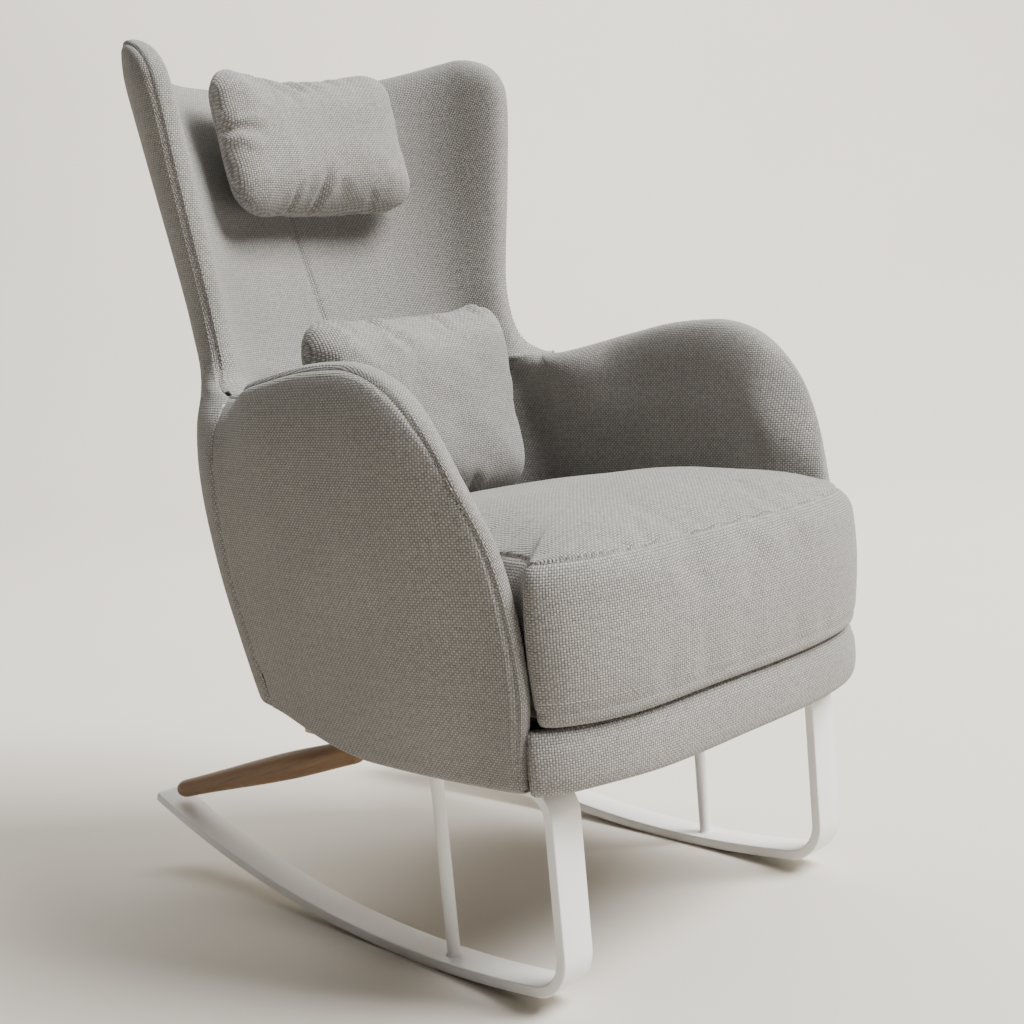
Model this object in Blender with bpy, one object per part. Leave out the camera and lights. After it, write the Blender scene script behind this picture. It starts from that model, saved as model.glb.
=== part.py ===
"""Rocking armchair with a winged back, on two bent steel runners.

Frame: metres, +Z up, the sitter faces -Y, +X is the sitter's left-hand side seen from the front.
The runners touch the ground at y = 0 while modelling; ORIGIN_Y then moves the whole chair so that
the origin is the centre of its bounding box at floor level.
"""
import math

import bmesh
import bpy
from mathutils import Matrix, Vector

# ---------------------------------------------------------------- driving dimensions (metres)
ORIGIN_Y = 0.10488           # centre of the chair's depth, measured from the ground contact
GAP = 0.0003                 # air between pieces that touch

# runners
BAR_W, BAR_T = 0.041, 0.012  # flat bar width and thickness
RUNNER_X = 0.218             # centre of each runner
ROCKER_R = 1.52              # radius of the rocking arc
REAR_ANGLE, FRONT_ANGLE = 0.346, 0.127
FACET = 0.030                # length of one flat of the arc
BEND_R = 0.052               # outer radius of the lower bend
TOP_BEND_R = 0.034           # outer radius of the upper bend
TAB_TOP = 0.2380             # top face of the tab, under the side rail
TAB_LENGTH = 0.115
POST_R = 0.0072
POST_Y = -0.048
LEG_FOOT_Y = 0.480           # rear leg, centre of its foot on the runner
LEG_TOP = (0.085, 0.2205)    # rear leg, centre of its upper end (y, z)
LEG_FOOT_R, LEG_MAX_R, LEG_TOP_R = 0.0115, 0.0165, 0.0140

# seat frame
SEAT_BOTTOM = 0.2384
RAIL_TOP = 0.292
SIDE_RAIL_X = (0.203, 0.243)
SIDE_RAIL_Y = (-0.180, 0.150)
REAR_RAIL_Y = (0.205, 0.235)
CROSS_RAIL_Y = (0.060, 0.110)
DECK_Z = (0.2975, 0.3030)
SPRING_Z = 0.2948
SPRING_R = 0.0021
SPRING_XS = (-0.135, -0.045, 0.045, 0.135)

# upholstery
DECK_TOP = 0.3045            # underside of the loose cushion
FRONT_Y = -0.303             # front face of the rail pad at the middle
FRONT_CURVE = ((0.0, 0.0), (0.06, 0.0005), (0.12, 0.003), (0.165, 0.008), (0.205, 0.017),
               (0.235, 0.0285), (0.255, 0.0415), (0.266, 0.0535))
RAIL_PAD_Z = (0.2385, 0.3030)
RAIL_PAD_T = 0.024
CUSHION_SHAPE = ((0.0, -0.309), (0.06, -0.3085), (0.12, -0.3065), (0.165, -0.3015),
                 (0.205, -0.292), (0.235, -0.280), (0.256, -0.2665), (0.2655, -0.257),
                 (0.2635, -0.2495), (0.250, -0.2445), (0.2385, -0.233),
                 (0.2345, -0.205), (0.229, -0.160), (0.2245, -0.110), (0.2235, -0.02),
                 (0.218, 0.07), (0.204, 0.130), (0.170, 0.178), (0.120, 0.200), (0.06, 0.205))
CUSHION_SAG = 0.022          # how much lower the cushion's top is at the back
CUSHION_BACK = 0.205
DIP_Z = 0.632                # where the arm meets the wing

# profile tables: (height, value)
SIDE_HALF = ((0.245, 0.281), (0.31, 0.295), (0.40, 0.310), (0.50, 0.322), (0.58, 0.3245),
             (0.64, 0.318), (0.67, 0.312))
ARM_THICK = ((0.245, 0.058), (0.31, 0.066), (0.45, 0.073), (0.58, 0.074), (0.67, 0.070))
EDGE_X = ((0.245, 0.270), (0.31, 0.283), (0.40, 0.298), (0.50, 0.309), (0.56, 0.308),
          (0.60, 0.297), (0.632, 0.272), (0.66, 0.252), (0.70, 0.248), (0.74, 0.250),
          (0.86, 0.269), (0.97, 0.283), (1.00, 0.284), (1.04, 0.280))
EDGE_Y = ((0.245, 0.158), (0.35, 0.167), (0.42, 0.174), (0.56, 0.175), (0.60, 0.184),
          (0.632, 0.210), (0.66, 0.240), (0.70, 0.253), (0.74, 0.257), (0.86, 0.257),
          (0.97, 0.258), (1.00, 0.264), (1.02, 0.274), (1.04, 0.296))
EDGE_THICK = ((0.245, 0.058), (0.31, 0.066), (0.45, 0.071), (0.60, 0.068), (0.66, 0.052),
              (0.74, 0.048), (0.90, 0.050), (1.04, 0.044))
BACK_Y = ((0.245, 0.320), (0.35, 0.352), (0.55, 0.400), (0.75, 0.450), (0.90, 0.488),
          (1.04, 0.528))
INNER_Y = ((0.245, 0.225), (0.31, 0.240), (0.45, 0.264), (0.60, 0.306), (0.716, 0.356),
           (0.844, 0.401), (0.95, 0.438), (1.04, 0.474))
# side outline of the arm, seen from the side (y, z)
ARM_FRONT = ((-0.234, 0.2450), (-0.238, 0.300), (-0.237, 0.350), (-0.232, 0.400),
             (-0.225, 0.446), (-0.214, 0.492), (-0.199, 0.533))
ARM_TOP = ((-0.199, 0.533), (-0.178, 0.577), (-0.149, 0.614), (-0.118, 0.637), (-0.080, 0.650),
           (-0.040, 0.6525), (0.010, 0.650), (0.060, 0.643), (0.110, 0.636), (0.160, 0.631),
           (0.210, 0.632))

# layers through the shell, as fractions of its thickness from the outside
OUTER_LAYER = (0.0, 0.155)
FRAME_LAYER = (0.165, 0.36)
PAD_FROM, PAD_HOOK = 0.372, 0.163
RIM_BULGE = 0.009
FRONT_TAPER, TOP_TAPER = 0.42, 0.20   # how far the arm thins towards its rim
FRONT_TUCK = ((0.245, 0.008), (0.31, 0.018), (0.40, 0.032), (0.50, 0.036), (0.58, 0.030),
              (0.66, 0.020))  # how far the arm's outside turns in at its front edge, by height
REAR_TUCK = 0.013            # how far it turns in towards the back
FRONT_THINNING = 0.007       # how much thinner the arm gets there
OUTER_REACH, OUTER_TURN = 0.50, 0.33   # handles of the outside's curve round the back
SEAT_ROW = 0.314             # the inner pads start at this height
LOW_Z = 0.281                # lower edge of the back
LOW_V, LOW_FRONT = 0.2, 0.226   # share of the arm's rows, and of its front edge, below SEAT_ROW

# pillows: centre, width, height, thickness, lean (degrees back from upright), wrap forward
LUMBAR = ((0.028, 0.2180, 0.5800), 0.336, 0.262, 0.108, 6.0, 0.006)
HEAD = ((0.010, 0.3690, 0.9270), 0.280, 0.192, 0.092, 13.0, 0.024)
TAPE_W, TAPE_H, TAPE_T = 0.080, 0.045, 0.0018   # hook-and-loop pads behind the head pillow

FABRIC = (0.46, 0.45, 0.43, 1.0)
WHITE = (0.83, 0.83, 0.81, 1.0)
WOOD = (0.30, 0.17, 0.085, 1.0)
RAW_WOOD = (0.66, 0.50, 0.33, 1.0)
PLY = (0.72, 0.58, 0.41, 1.0)
STEEL = (0.55, 0.56, 0.57, 1.0)
BLACK = (0.03, 0.03, 0.03, 1.0)


# ---------------------------------------------------------------- scene and helpers
for old in list(bpy.data.objects):
    bpy.data.objects.remove(old, do_unlink=True)


def material(name, colour, roughness, metallic=0.0):
    mat = bpy.data.materials.new(name)
    mat.use_nodes = True
    shader = mat.node_tree.nodes["Principled BSDF"]
    shader.inputs["Base Color"].default_value = colour
    shader.inputs["Roughness"].default_value = roughness
    shader.inputs["Metallic"].default_value = metallic
    mat.diffuse_color = colour
    return mat


MATS = {
    "fabric": material("upholstery_fabric", FABRIC, 0.9),
    "white": material("white_paint", WHITE, 0.4),
    "wood": material("oiled_wood", WOOD, 0.5),
    "raw": material("frame_wood", RAW_WOOD, 0.7),
    "ply": material("moulded_ply", PLY, 0.6),
    "steel": material("zinc_steel", STEEL, 0.35, 1.0),
    "black": material("black_cloth", BLACK, 0.95),
}

root = bpy.data.objects.new("rocking_chair", None)
bpy.context.scene.collection.objects.link(root)
root.location = (0.0, -ORIGIN_Y, 0.0)


def add(name, bm, mat, parent=None):
    """Finish a bmesh as one closed, outward-facing object."""
    bmesh.ops.recalc_face_normals(bm, faces=bm.faces)
    if bm.calc_volume(signed=True) < 0:
        bmesh.ops.reverse_faces(bm, faces=bm.faces)
    mesh = bpy.data.meshes.new(name)
    bm.to_mesh(mesh)
    bm.free()
    mesh.materials.append(MATS[mat])
    obj = bpy.data.objects.new(name, mesh)
    bpy.context.scene.collection.objects.link(obj)
    obj.parent = parent or root
    return obj


def lookup(table, x):
    """Smooth value from a table of (position, value), by Catmull-Rom interpolation."""
    n = len(table)
    if x <= table[0][0]:
        return table[0][1]
    if x >= table[-1][0]:
        return table[-1][1]
    i = max(k for k in range(n - 1) if table[k][0] <= x)
    x0, x1 = table[i][0], table[i + 1][0]

    def slope(k):
        a, b = max(k - 1, 0), min(k + 1, n - 1)
        return (table[b][1] - table[a][1]) / (table[b][0] - table[a][0])

    t, span = (x - x0) / (x1 - x0), x1 - x0
    return ((2 * t**3 - 3 * t**2 + 1) * table[i][1] + (t**3 - 2 * t**2 + t) * span * slope(i)
            + (-2 * t**3 + 3 * t**2) * table[i + 1][1] + (t**3 - t**2) * span * slope(i + 1))


def along(points, t):
    """Point at fraction t of a polyline's length."""
    steps = [math.dist(a, b) for a, b in zip(points, points[1:])]
    left = max(0.0, min(1.0, t)) * sum(steps)
    for a, b, step in zip(points, points[1:], steps):
        if left <= step:
            return tuple(p + (q - p) * left / step for p, q in zip(a, b))
        left -= step
    return points[-1]


def smooth(lo, hi, x):
    t = max(0.0, min(1.0, (x - lo) / (hi - lo)))
    return t * t * (3 - 2 * t)


def steps(lo, hi, count):
    return [lo + (hi - lo) * i / count for i in range(count + 1)]


def box(name, xs, ys, zs, mat, bevel=0.0, parent=None):
    bm = bmesh.new()
    bmesh.ops.create_cube(bm, size=1.0)
    for v in bm.verts:
        v.co = Vector((xs[0] if v.co.x < 0 else xs[1], ys[0] if v.co.y < 0 else ys[1],
                       zs[0] if v.co.z < 0 else zs[1]))
    if bevel:
        bmesh.ops.bevel(bm, geom=bm.edges[:], offset=bevel, segments=1, affect="EDGES")
    return add(name, bm, mat, parent)


def rings(name, loops, mat, caps=True, parent=None):
    """Closed solid through a list of equal-length loops; a single point may end it."""
    bm = bmesh.new()
    rows = [[bm.verts.new(p) for p in loop] for loop in loops]
    for a, b in zip(rows, rows[1:]):
        n = max(len(a), len(b))
        for i in range(n):
            j = (i + 1) % n
            if len(a) == 1:
                bm.faces.new((a[0], b[i], b[j]))
            elif len(b) == 1:
                bm.faces.new((a[i], b[0], a[j]))
            else:
                bm.faces.new((a[i], b[i], b[j], a[j]))
    if caps:
        for row in (rows[0], rows[-1]):
            if len(row) > 2:
                bm.faces.new(row)
    return add(name, bm, mat, parent)


def lathe(name, start, direction, profile, mat, sides=16):
    """Turned solid: profile is a list of (distance along, radius)."""
    axis = Vector(direction).normalized()
    turn = Vector((0, 0, 1)).rotation_difference(axis).to_matrix()
    loops = []
    for dist, radius in profile:
        centre = Vector(start) + axis * dist
        if radius == 0.0:
            loops.append([centre])
            continue
        loops.append([centre + turn @ Vector((radius * math.cos(2 * math.pi * k / sides),
                                              radius * math.sin(2 * math.pi * k / sides), 0.0))
                      for k in range(sides)])
    return rings(name, loops, mat)


def block(name, place, us, vs, w_range, mat, layers=1):
    """Closed solid from a mapped block: place(u, v, w), w_range(u, v) gives its two layers."""
    bm = bmesh.new()
    grid = {}
    for i, u in enumerate(us):
        for j, v in enumerate(vs):
            lo, hi = w_range(u, v)
            for k in range(layers + 1):
                edge = i in (0, len(us) - 1) or j in (0, len(vs) - 1) or k in (0, layers)
                if edge:
                    grid[i, j, k] = bm.verts.new(place(u, v, lo + (hi - lo) * k / layers))
    nu, nv, nw = len(us) - 1, len(vs) - 1, layers
    quads = []
    for i in range(nu):
        for j in range(nv):
            for k in (0, nw):
                quads.append([(i, j, k), (i + 1, j, k), (i + 1, j + 1, k), (i, j + 1, k)])
    for i in range(nu):
        for k in range(nw):
            for j in (0, nv):
                quads.append([(i, j, k), (i + 1, j, k), (i + 1, j, k + 1), (i, j, k + 1)])
    for j in range(nv):
        for k in range(nw):
            for i in (0, nu):
                quads.append([(i, j, k), (i, j + 1, k), (i, j + 1, k + 1), (i, j, k + 1)])
    for a, b, c, d in quads:
        # one fixed diagonal, so neighbouring layers stay parallel
        bm.faces.new([grid[a], grid[b], grid[c]])
        bm.faces.new([grid[a], grid[c], grid[d]])
    return add(name, bm, mat)


# ---------------------------------------------------------------- shell surfaces
def bezier(p0, p1, p2, p3, t):
    s = 1 - t
    return tuple(s**3 * a + 3 * s * s * t * b + 3 * s * t * t * c + t**3 * d
                 for a, b, c, d in zip(p0, p1, p2, p3))


def bottom_z(y):
    """Lower edge of the shell: level under the seat, rising towards the back."""
    return ARM_FRONT[0][1] + (LOW_Z - ARM_FRONT[0][1]) * smooth(-0.02, 0.20, y)


def side_half(y, z):
    """Half-width outside: a little narrower at the front edge and towards the back."""
    return (lookup(SIDE_HALF, z) - lookup(FRONT_TUCK, z) * front_tuck(y)
            - REAR_TUCK * smooth(0.0, 0.175, y) ** 2)


def front_tuck(y):
    """0 along the arm's side, rising to 1 at its front edge."""
    return smooth(0.05, 0.245, -y) ** 2


def arm_yz(s, v):
    """Side outline of the arm: s from the rear seam to the front edge, v from bottom to top."""
    if v < LOW_V:
        y_front = along(ARM_FRONT, LOW_FRONT * v / LOW_V)[0]
        y_rear = lookup(EDGE_Y, LOW_Z)
        y = y_rear + (y_front - y_rear) * s
        return y, bottom_z(y) + (SEAT_ROW - bottom_z(y)) * v / LOW_V
    r = (v - LOW_V) / (1 - LOW_V)
    front = along(ARM_FRONT, LOW_FRONT + (1 - LOW_FRONT) * r)
    z_rear = SEAT_ROW + (DIP_Z - SEAT_ROW) * r
    rear = (lookup(EDGE_Y, z_rear), z_rear)
    top = along(ARM_TOP[::-1], s)
    y0 = lookup(EDGE_Y, SEAT_ROW)
    seat_front = along(ARM_FRONT, LOW_FRONT)
    low = (y0 + (seat_front[0] - y0) * s, SEAT_ROW)
    c00, c10 = (y0, SEAT_ROW), (seat_front[0], SEAT_ROW)
    c01, c11 = ARM_TOP[-1], ARM_TOP[0]
    return tuple((1 - r) * low[k] + r * top[k] + (1 - s) * rear[k] + s * front[k]
                 - ((1 - s) * (1 - r) * c00[k] + s * (1 - r) * c10[k]
                    + (1 - s) * r * c01[k] + s * r * c11[k]) for k in (0, 1))


def arm_point(s, v, w):
    """Point in the arm of the +X side: w = 0 outside, 1 inside."""
    y, z = arm_yz(s, v)
    x_out = side_half(y, z)
    x_edge = lookup(EDGE_X, z)
    near_rear = 1 - smooth(0.0, 0.22, s)
    x_out += (x_edge - side_half(lookup(EDGE_Y, z), z)) * near_rear
    thick = lookup(ARM_THICK, z) + (lookup(EDGE_THICK, z) - lookup(ARM_THICK, z)) * near_rear
    thick *= 1 - FRONT_TAPER * smooth(0.72, 1.0, s) - TOP_TAPER * smooth(0.75, 1.0, v)
    thick -= FRONT_THINNING * front_tuck(y)
    x = x_out - thick * w
    # rounded rim: pushed out along the edge, most in the middle of the rim
    crown = RIM_BULGE * 4 * w * (1 - w)
    up = crown * smooth(0.86, 1.0, v) * smooth(0.0, 0.25, s)
    forward = crown * smooth(0.90, 1.0, s) * smooth(0.12, 0.3, v)
    return Vector((x, y - forward - 0.5 * up * smooth(0.7, 1.0, s), z + up))


def back_z(t, v):
    """Heights of the back's rows: t = 0 at the centre, 1 at the front edge of the wing."""
    top = 1.008 + 0.025 * smooth(0.25, 0.95, t)
    if v < 0.1:
        return LOW_Z + (SEAT_ROW - LOW_Z) * v / 0.1
    if v < 0.5:
        return SEAT_ROW + (DIP_Z - SEAT_ROW) * (v - 0.1) / 0.4
    return DIP_Z + (top - DIP_Z) * (v - 0.5) / 0.5


def back_point(t, v, w):
    """Point in the back; negative t is the -X side. w = 0 outside, 1 inside."""
    side, t = (-1.0 if t < 0 else 1.0), abs(t)
    z = back_z(t, v)
    xe, ye = lookup(EDGE_X, z), lookup(EDGE_Y, z)
    thick = lookup(EDGE_THICK, z)
    yb, yi = lookup(BACK_Y, z), lookup(INNER_Y, z)
    outer = bezier((xe, ye), (xe + 0.002, ye + OUTER_TURN * (yb - ye)), (OUTER_REACH * xe, yb),
                   (0.0, yb), 1 - t)
    xi = xe - thick
    inner = bezier((xi, ye), (xi, ye + 0.55 * (yi - ye)), (0.52 * xi, yi), (0.0, yi), 1 - t)
    x = outer[0] + (inner[0] - outer[0]) * w
    y = outer[1] + (inner[1] - outer[1]) * w
    crown = RIM_BULGE * 4 * w * (1 - w)
    wing = smooth(DIP_Z, 0.70, z)
    up = crown * smooth(0.93, 1.0, v)
    forward = crown * smooth(0.92, 1.0, t) * wing
    return Vector((side * x, y - forward, z + up))


def mirror(place):
    """The same mapping on the -X side."""
    def placed(u, v, w):
        p = place(u, v, w)
        return Vector((-p.x, p.y, p.z))
    return placed


SIDES = (("left", -1.0), ("right", 1.0))

# ---------------------------------------------------------------- shell: outside, frame, inside
PAD_EDGE_T, PAD_EDGE_V = 0.868, 0.923
ARM_EDGE_S, ARM_EDGE_V = 0.897, 0.880
STEP = 0.004                 # half-width of the step where a pad hooks over its frame

# the layers share their grid lines, so their facets stay parallel
back_t = steps(0.0, 0.78, 6) + [PAD_EDGE_T - STEP, PAD_EDGE_T + STEP, 0.935, 0.97, 1.0]
back_v = [0.0] + steps(0.1, 0.5, 4) + steps(0.5, 0.815, 3)[1:] \
    + [PAD_EDGE_V - STEP, PAD_EDGE_V + STEP, 0.965, 1.0]
arm_s = [0.004] + steps(0.0, 0.77, 6)[1:] + [ARM_EDGE_S - STEP, ARM_EDGE_S + STEP, 0.95, 1.0]
arm_v = [0.0] + steps(0.2, 0.744, 4) + [ARM_EDGE_V - STEP, ARM_EDGE_V + STEP, 0.94, 1.0]


def upto(lines, lo, hi):
    return [x for x in lines if lo <= x <= hi]


def back_pad_layers(t, v):
    hook = (abs(t) > PAD_EDGE_T and v > 0.45) or v > PAD_EDGE_V
    return (PAD_HOOK if hook else PAD_FROM, 1.0)


def arm_pad_layers(s, v):
    return (PAD_HOOK if s > ARM_EDGE_S or v > ARM_EDGE_V else PAD_FROM, 1.0)


both_t = [-t for t in back_t[:0:-1]] + back_t
block("outer_back_panel", back_point, both_t, back_v, lambda t, v: OUTER_LAYER, "fabric")
block("back_frame", back_point, upto(both_t, -0.79, 0.79), upto(back_v, 0.0, 0.82),
      lambda t, v: FRAME_LAYER, "ply")
for side, sign in SIDES:
    half_t = [0.001] + back_t[1:] if sign > 0 else [-t for t in back_t[:0:-1]] + [-0.001]
    block(f"{side}_back_pad", back_point, half_t, upto(back_v, 0.1, 1.0), back_pad_layers,
          "fabric", layers=3)
    place = arm_point if sign > 0 else mirror(arm_point)
    block(f"{side}_side_panel", place, arm_s, arm_v, lambda s, v: OUTER_LAYER, "fabric")
    block(f"{side}_arm_frame", place, upto(arm_s, 0.0, 0.78), upto(arm_v, 0.0, 0.75),
          lambda s, v: FRAME_LAYER, "ply")
    block(f"{side}_arm_pad", place, arm_s, upto(arm_v, 0.2, 1.0), arm_pad_layers, "fabric",
          layers=3)


# ---------------------------------------------------------------- front rail and its pad
def front_curve(half_limit, inset, count):
    """Points of the D-shaped front, from -X to +X, set back by inset."""
    pts = [(x, FRONT_Y + d) for x, d in FRONT_CURVE]
    pts = [(-x, y) for x, y in pts[:0:-1]] + pts
    fine = [along(pts, t) for t in steps(0.0, 1.0, count)]
    out = []
    for i, p in enumerate(fine):
        a, b = fine[max(i - 1, 0)], fine[min(i + 1, len(fine) - 1)]
        dx, dy = b[0] - a[0], b[1] - a[1]
        run = math.hypot(dx, dy)
        q = (p[0] - dy / run * inset, p[1] + dx / run * inset)
        if abs(q[0]) <= half_limit:
            out.append(q)
    return out


def curved_bar(name, depths, zs, mat, half_limit, count=26):
    """Bar that follows the front curve between two insets; zs is a list of (z, extra inset)."""
    outer = front_curve(1.0, depths[0], count)
    inner = front_curve(1.0, depths[1], count)
    keep = [i for i in range(len(outer)) if abs(outer[i][0]) <= half_limit]
    loops = []
    for i in keep:
        (ox, oy), (ix, iy) = outer[i], inner[i]
        run = math.hypot(ix - ox, iy - oy)
        loop = []
        for z, inset in zs:
            f = inset / run
            loop.append((ox + (ix - ox) * f, oy + (iy - oy) * f, z))
        loop.append((ix, iy, zs[-1][0]))
        loop.append((ix, iy, zs[0][0]))
        loops.append(loop)
    return rings(name, loops, mat)


zlo, zhi = RAIL_PAD_Z
curved_bar("front_rail_pad", (0.0, RAIL_PAD_T),
           [(zlo, 0.008), (zlo + 0.006, 0.002), (zlo + 0.022, 0.0), (zhi - 0.022, 0.0),
            (zhi - 0.006, 0.002), (zhi, 0.008)], "fabric", 1.0)
curved_bar("front_rail", (RAIL_PAD_T + GAP, RAIL_PAD_T + 0.024),
           [(SEAT_BOTTOM, 0.0), (RAIL_TOP, 0.0)], "raw", 0.1975)

# ---------------------------------------------------------------- seat frame
for side, sign in SIDES:
    xs = sorted((sign * SIDE_RAIL_X[0], sign * SIDE_RAIL_X[1]))
    box(f"{side}_seat_rail", xs, SIDE_RAIL_Y, (SEAT_BOTTOM, RAIL_TOP), "raw", 0.002)
inner_x = SIDE_RAIL_X[0] - GAP
box("rear_rail", (-0.190, 0.190), REAR_RAIL_Y, (SEAT_BOTTOM + 0.012, RAIL_TOP), "raw", 0.002)
box("cross_rail", (-inner_x, inner_x), CROSS_RAIL_Y, (SEAT_BOTTOM + 0.006, 0.2800), "raw", 0.002)


def corner_block(name, corner, sx, sy, size):
    """Triangular glue block in a corner of the seat frame."""
    x, y = corner
    tri = [(x, y), (x + sx * size, y), (x, y + sy * size)]
    loops = [[(a, b, z) for a, b in tri] for z in (0.250, 0.285)]
    return rings(name, loops, "raw")


for side, sign in SIDES:
    corner_block(f"{side}_corner_block", (sign * (inner_x - GAP), CROSS_RAIL_Y[0] - GAP),
                 -sign, -1, 0.048)

# sinuous springs, front rail to rear rail
for n, x0 in enumerate(SPRING_XS, 1):
    y0, y1 = -0.238, REAR_RAIL_Y[1] - 0.010
    waves, half = 9, 0.021
    path = [Vector((x0, y0, SPRING_Z))]
    for i, f in enumerate(steps(0.03, 0.97, 2 * waves)):
        off = half if i % 4 in (1, 2) else -half
        path.append(Vector((x0 + off, y0 + (y1 - y0) * f, SPRING_Z)))
    path.append(Vector((x0, y1, SPRING_Z)))
    loops = []
    for i, p in enumerate(path):
        a, b = path[max(i - 1, 0)], path[min(i + 1, len(path) - 1)]
        along_dir = (b - a).normalized()
        across = along_dir.cross(Vector((0, 0, 1))).normalized()
        loops.append([p + across * SPRING_R * math.cos(q) + Vector((0, 0, SPRING_R)) * math.sin(q)
                      for q in (0.0, math.pi / 2, math.pi, 1.5 * math.pi)])
    rings(f"seat_spring_{n}", loops, "steel")


def plate(name, outline, zs, mat):
    return rings(name, [[(x, y, z) for x, y in outline] for z in zs], mat)


deck_front = front_curve(0.222, RAIL_PAD_T + 0.0015, 26)
plate("seat_deck", deck_front + [(0.222, 0.150), (0.150, 0.222), (-0.150, 0.222), (-0.222, 0.150)],
      DECK_Z, "black")
cover_x = inner_x - 0.002
plate("dust_cover", [(-cover_x, -0.195), (cover_x, -0.195), (cover_x, 0.180), (-cover_x, 0.180)],
      (0.2395, 0.2407), "black")


# ---------------------------------------------------------------- runners
def runner_profile():
    """Outer and inner edge of the bent bar in the (y, z) plane, tail first."""
    half = FACET / ROCKER_R / 2
    rear_n = round(REAR_ANGLE / (2 * half) + 0.5)
    front_n = round(FRONT_ANGLE / (2 * half) + 0.5)
    angles = [half * (2 * k + 1) for k in range(rear_n - 1, -1, -1)]
    angles += [-half * (2 * k + 1) for k in range(front_n)]
    reach = ROCKER_R / math.cos(half)
    pairs = []
    for a in angles:
        out = (reach * math.sin(a), ROCKER_R - reach * math.cos(a))
        inn = ((reach - BAR_T) * math.sin(a), ROCKER_R - (reach - BAR_T) * math.cos(a))
        pairs.append((out, inn))
    last = angles[-1]
    start = (reach * math.sin(last), ROCKER_R - reach * math.cos(last))
    nin = (-math.sin(last), math.cos(last))
    centre = (start[0] + nin[0] * BEND_R, start[1] + nin[1] * BEND_R)
    a0 = math.atan2(-nin[1], -nin[0])
    for k in range(1, 8):
        a = a0 + (-math.pi - a0) * k / 7
        d = (math.cos(a), math.sin(a))
        pairs.append(((centre[0] + BEND_R * d[0], centre[1] + BEND_R * d[1]),
                      (centre[0] + (BEND_R - BAR_T) * d[0], centre[1] + (BEND_R - BAR_T) * d[1])))
    front = centre[0] - BEND_R
    top = (front + TOP_BEND_R, TAB_TOP - TOP_BEND_R)
    for k in range(7):
        a = math.pi - math.pi / 2 * k / 6
        d = (math.cos(a), math.sin(a))
        pairs.append(((top[0] + TOP_BEND_R * d[0], top[1] + TOP_BEND_R * d[1]),
                      (top[0] + (TOP_BEND_R - BAR_T) * d[0],
                       top[1] + (TOP_BEND_R - BAR_T) * d[1])))
    end = top[0] + TAB_LENGTH
    pairs.append(((end, TAB_TOP), (end, TAB_TOP - BAR_T)))
    return pairs


PROFILE = runner_profile()
EDGE = 0.0012                # small chamfer on the bar's long edges


def runner(name, sign):
    loops = []
    for out, inn in PROFILE:
        n = Vector((0.0, inn[0] - out[0], inn[1] - out[1])).normalized()
        o, i = Vector((0, *out)), Vector((0, *inn))
        h = Vector((BAR_W / 2, 0, 0))
        e = Vector((EDGE, 0, 0))
        base = Vector((sign * RUNNER_X, 0, 0))
        loops.append([base + o - h + e, base + o + h - e, base + o + h + n * EDGE,
                      base + i + h - n * EDGE, base + i + h - e, base + i - h + e,
                      base + i - h - n * EDGE, base + o - h + n * EDGE])
    return rings(name, loops, "white")


def rocker_top(y):
    """Height of the rocker's upper face at y."""
    inner = [p[1] for p in PROFILE if p[1][1] < 0.11]
    for a, b in zip(inner, inner[1:]):
        if min(a[0], b[0]) <= y <= max(a[0], b[0]):
            return a[1] + (b[1] - a[1]) * (y - a[0]) / (b[0] - a[0])
    return inner[0][1]


def rocker_under(y):
    """Point on the rocker's lower face below y, and the outward normal there, as (y, z)."""
    outer = [p[0] for p in PROFILE if p[0][1] < 0.11]
    for a, b in zip(outer, outer[1:]):
        if min(a[0], b[0]) <= y <= max(a[0], b[0]):
            mid = ((a[0] + b[0]) / 2, (a[1] + b[1]) / 2)
            run = math.dist(a, b)
            return mid, ((a[1] - b[1]) / run, (b[0] - a[0]) / run)


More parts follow.
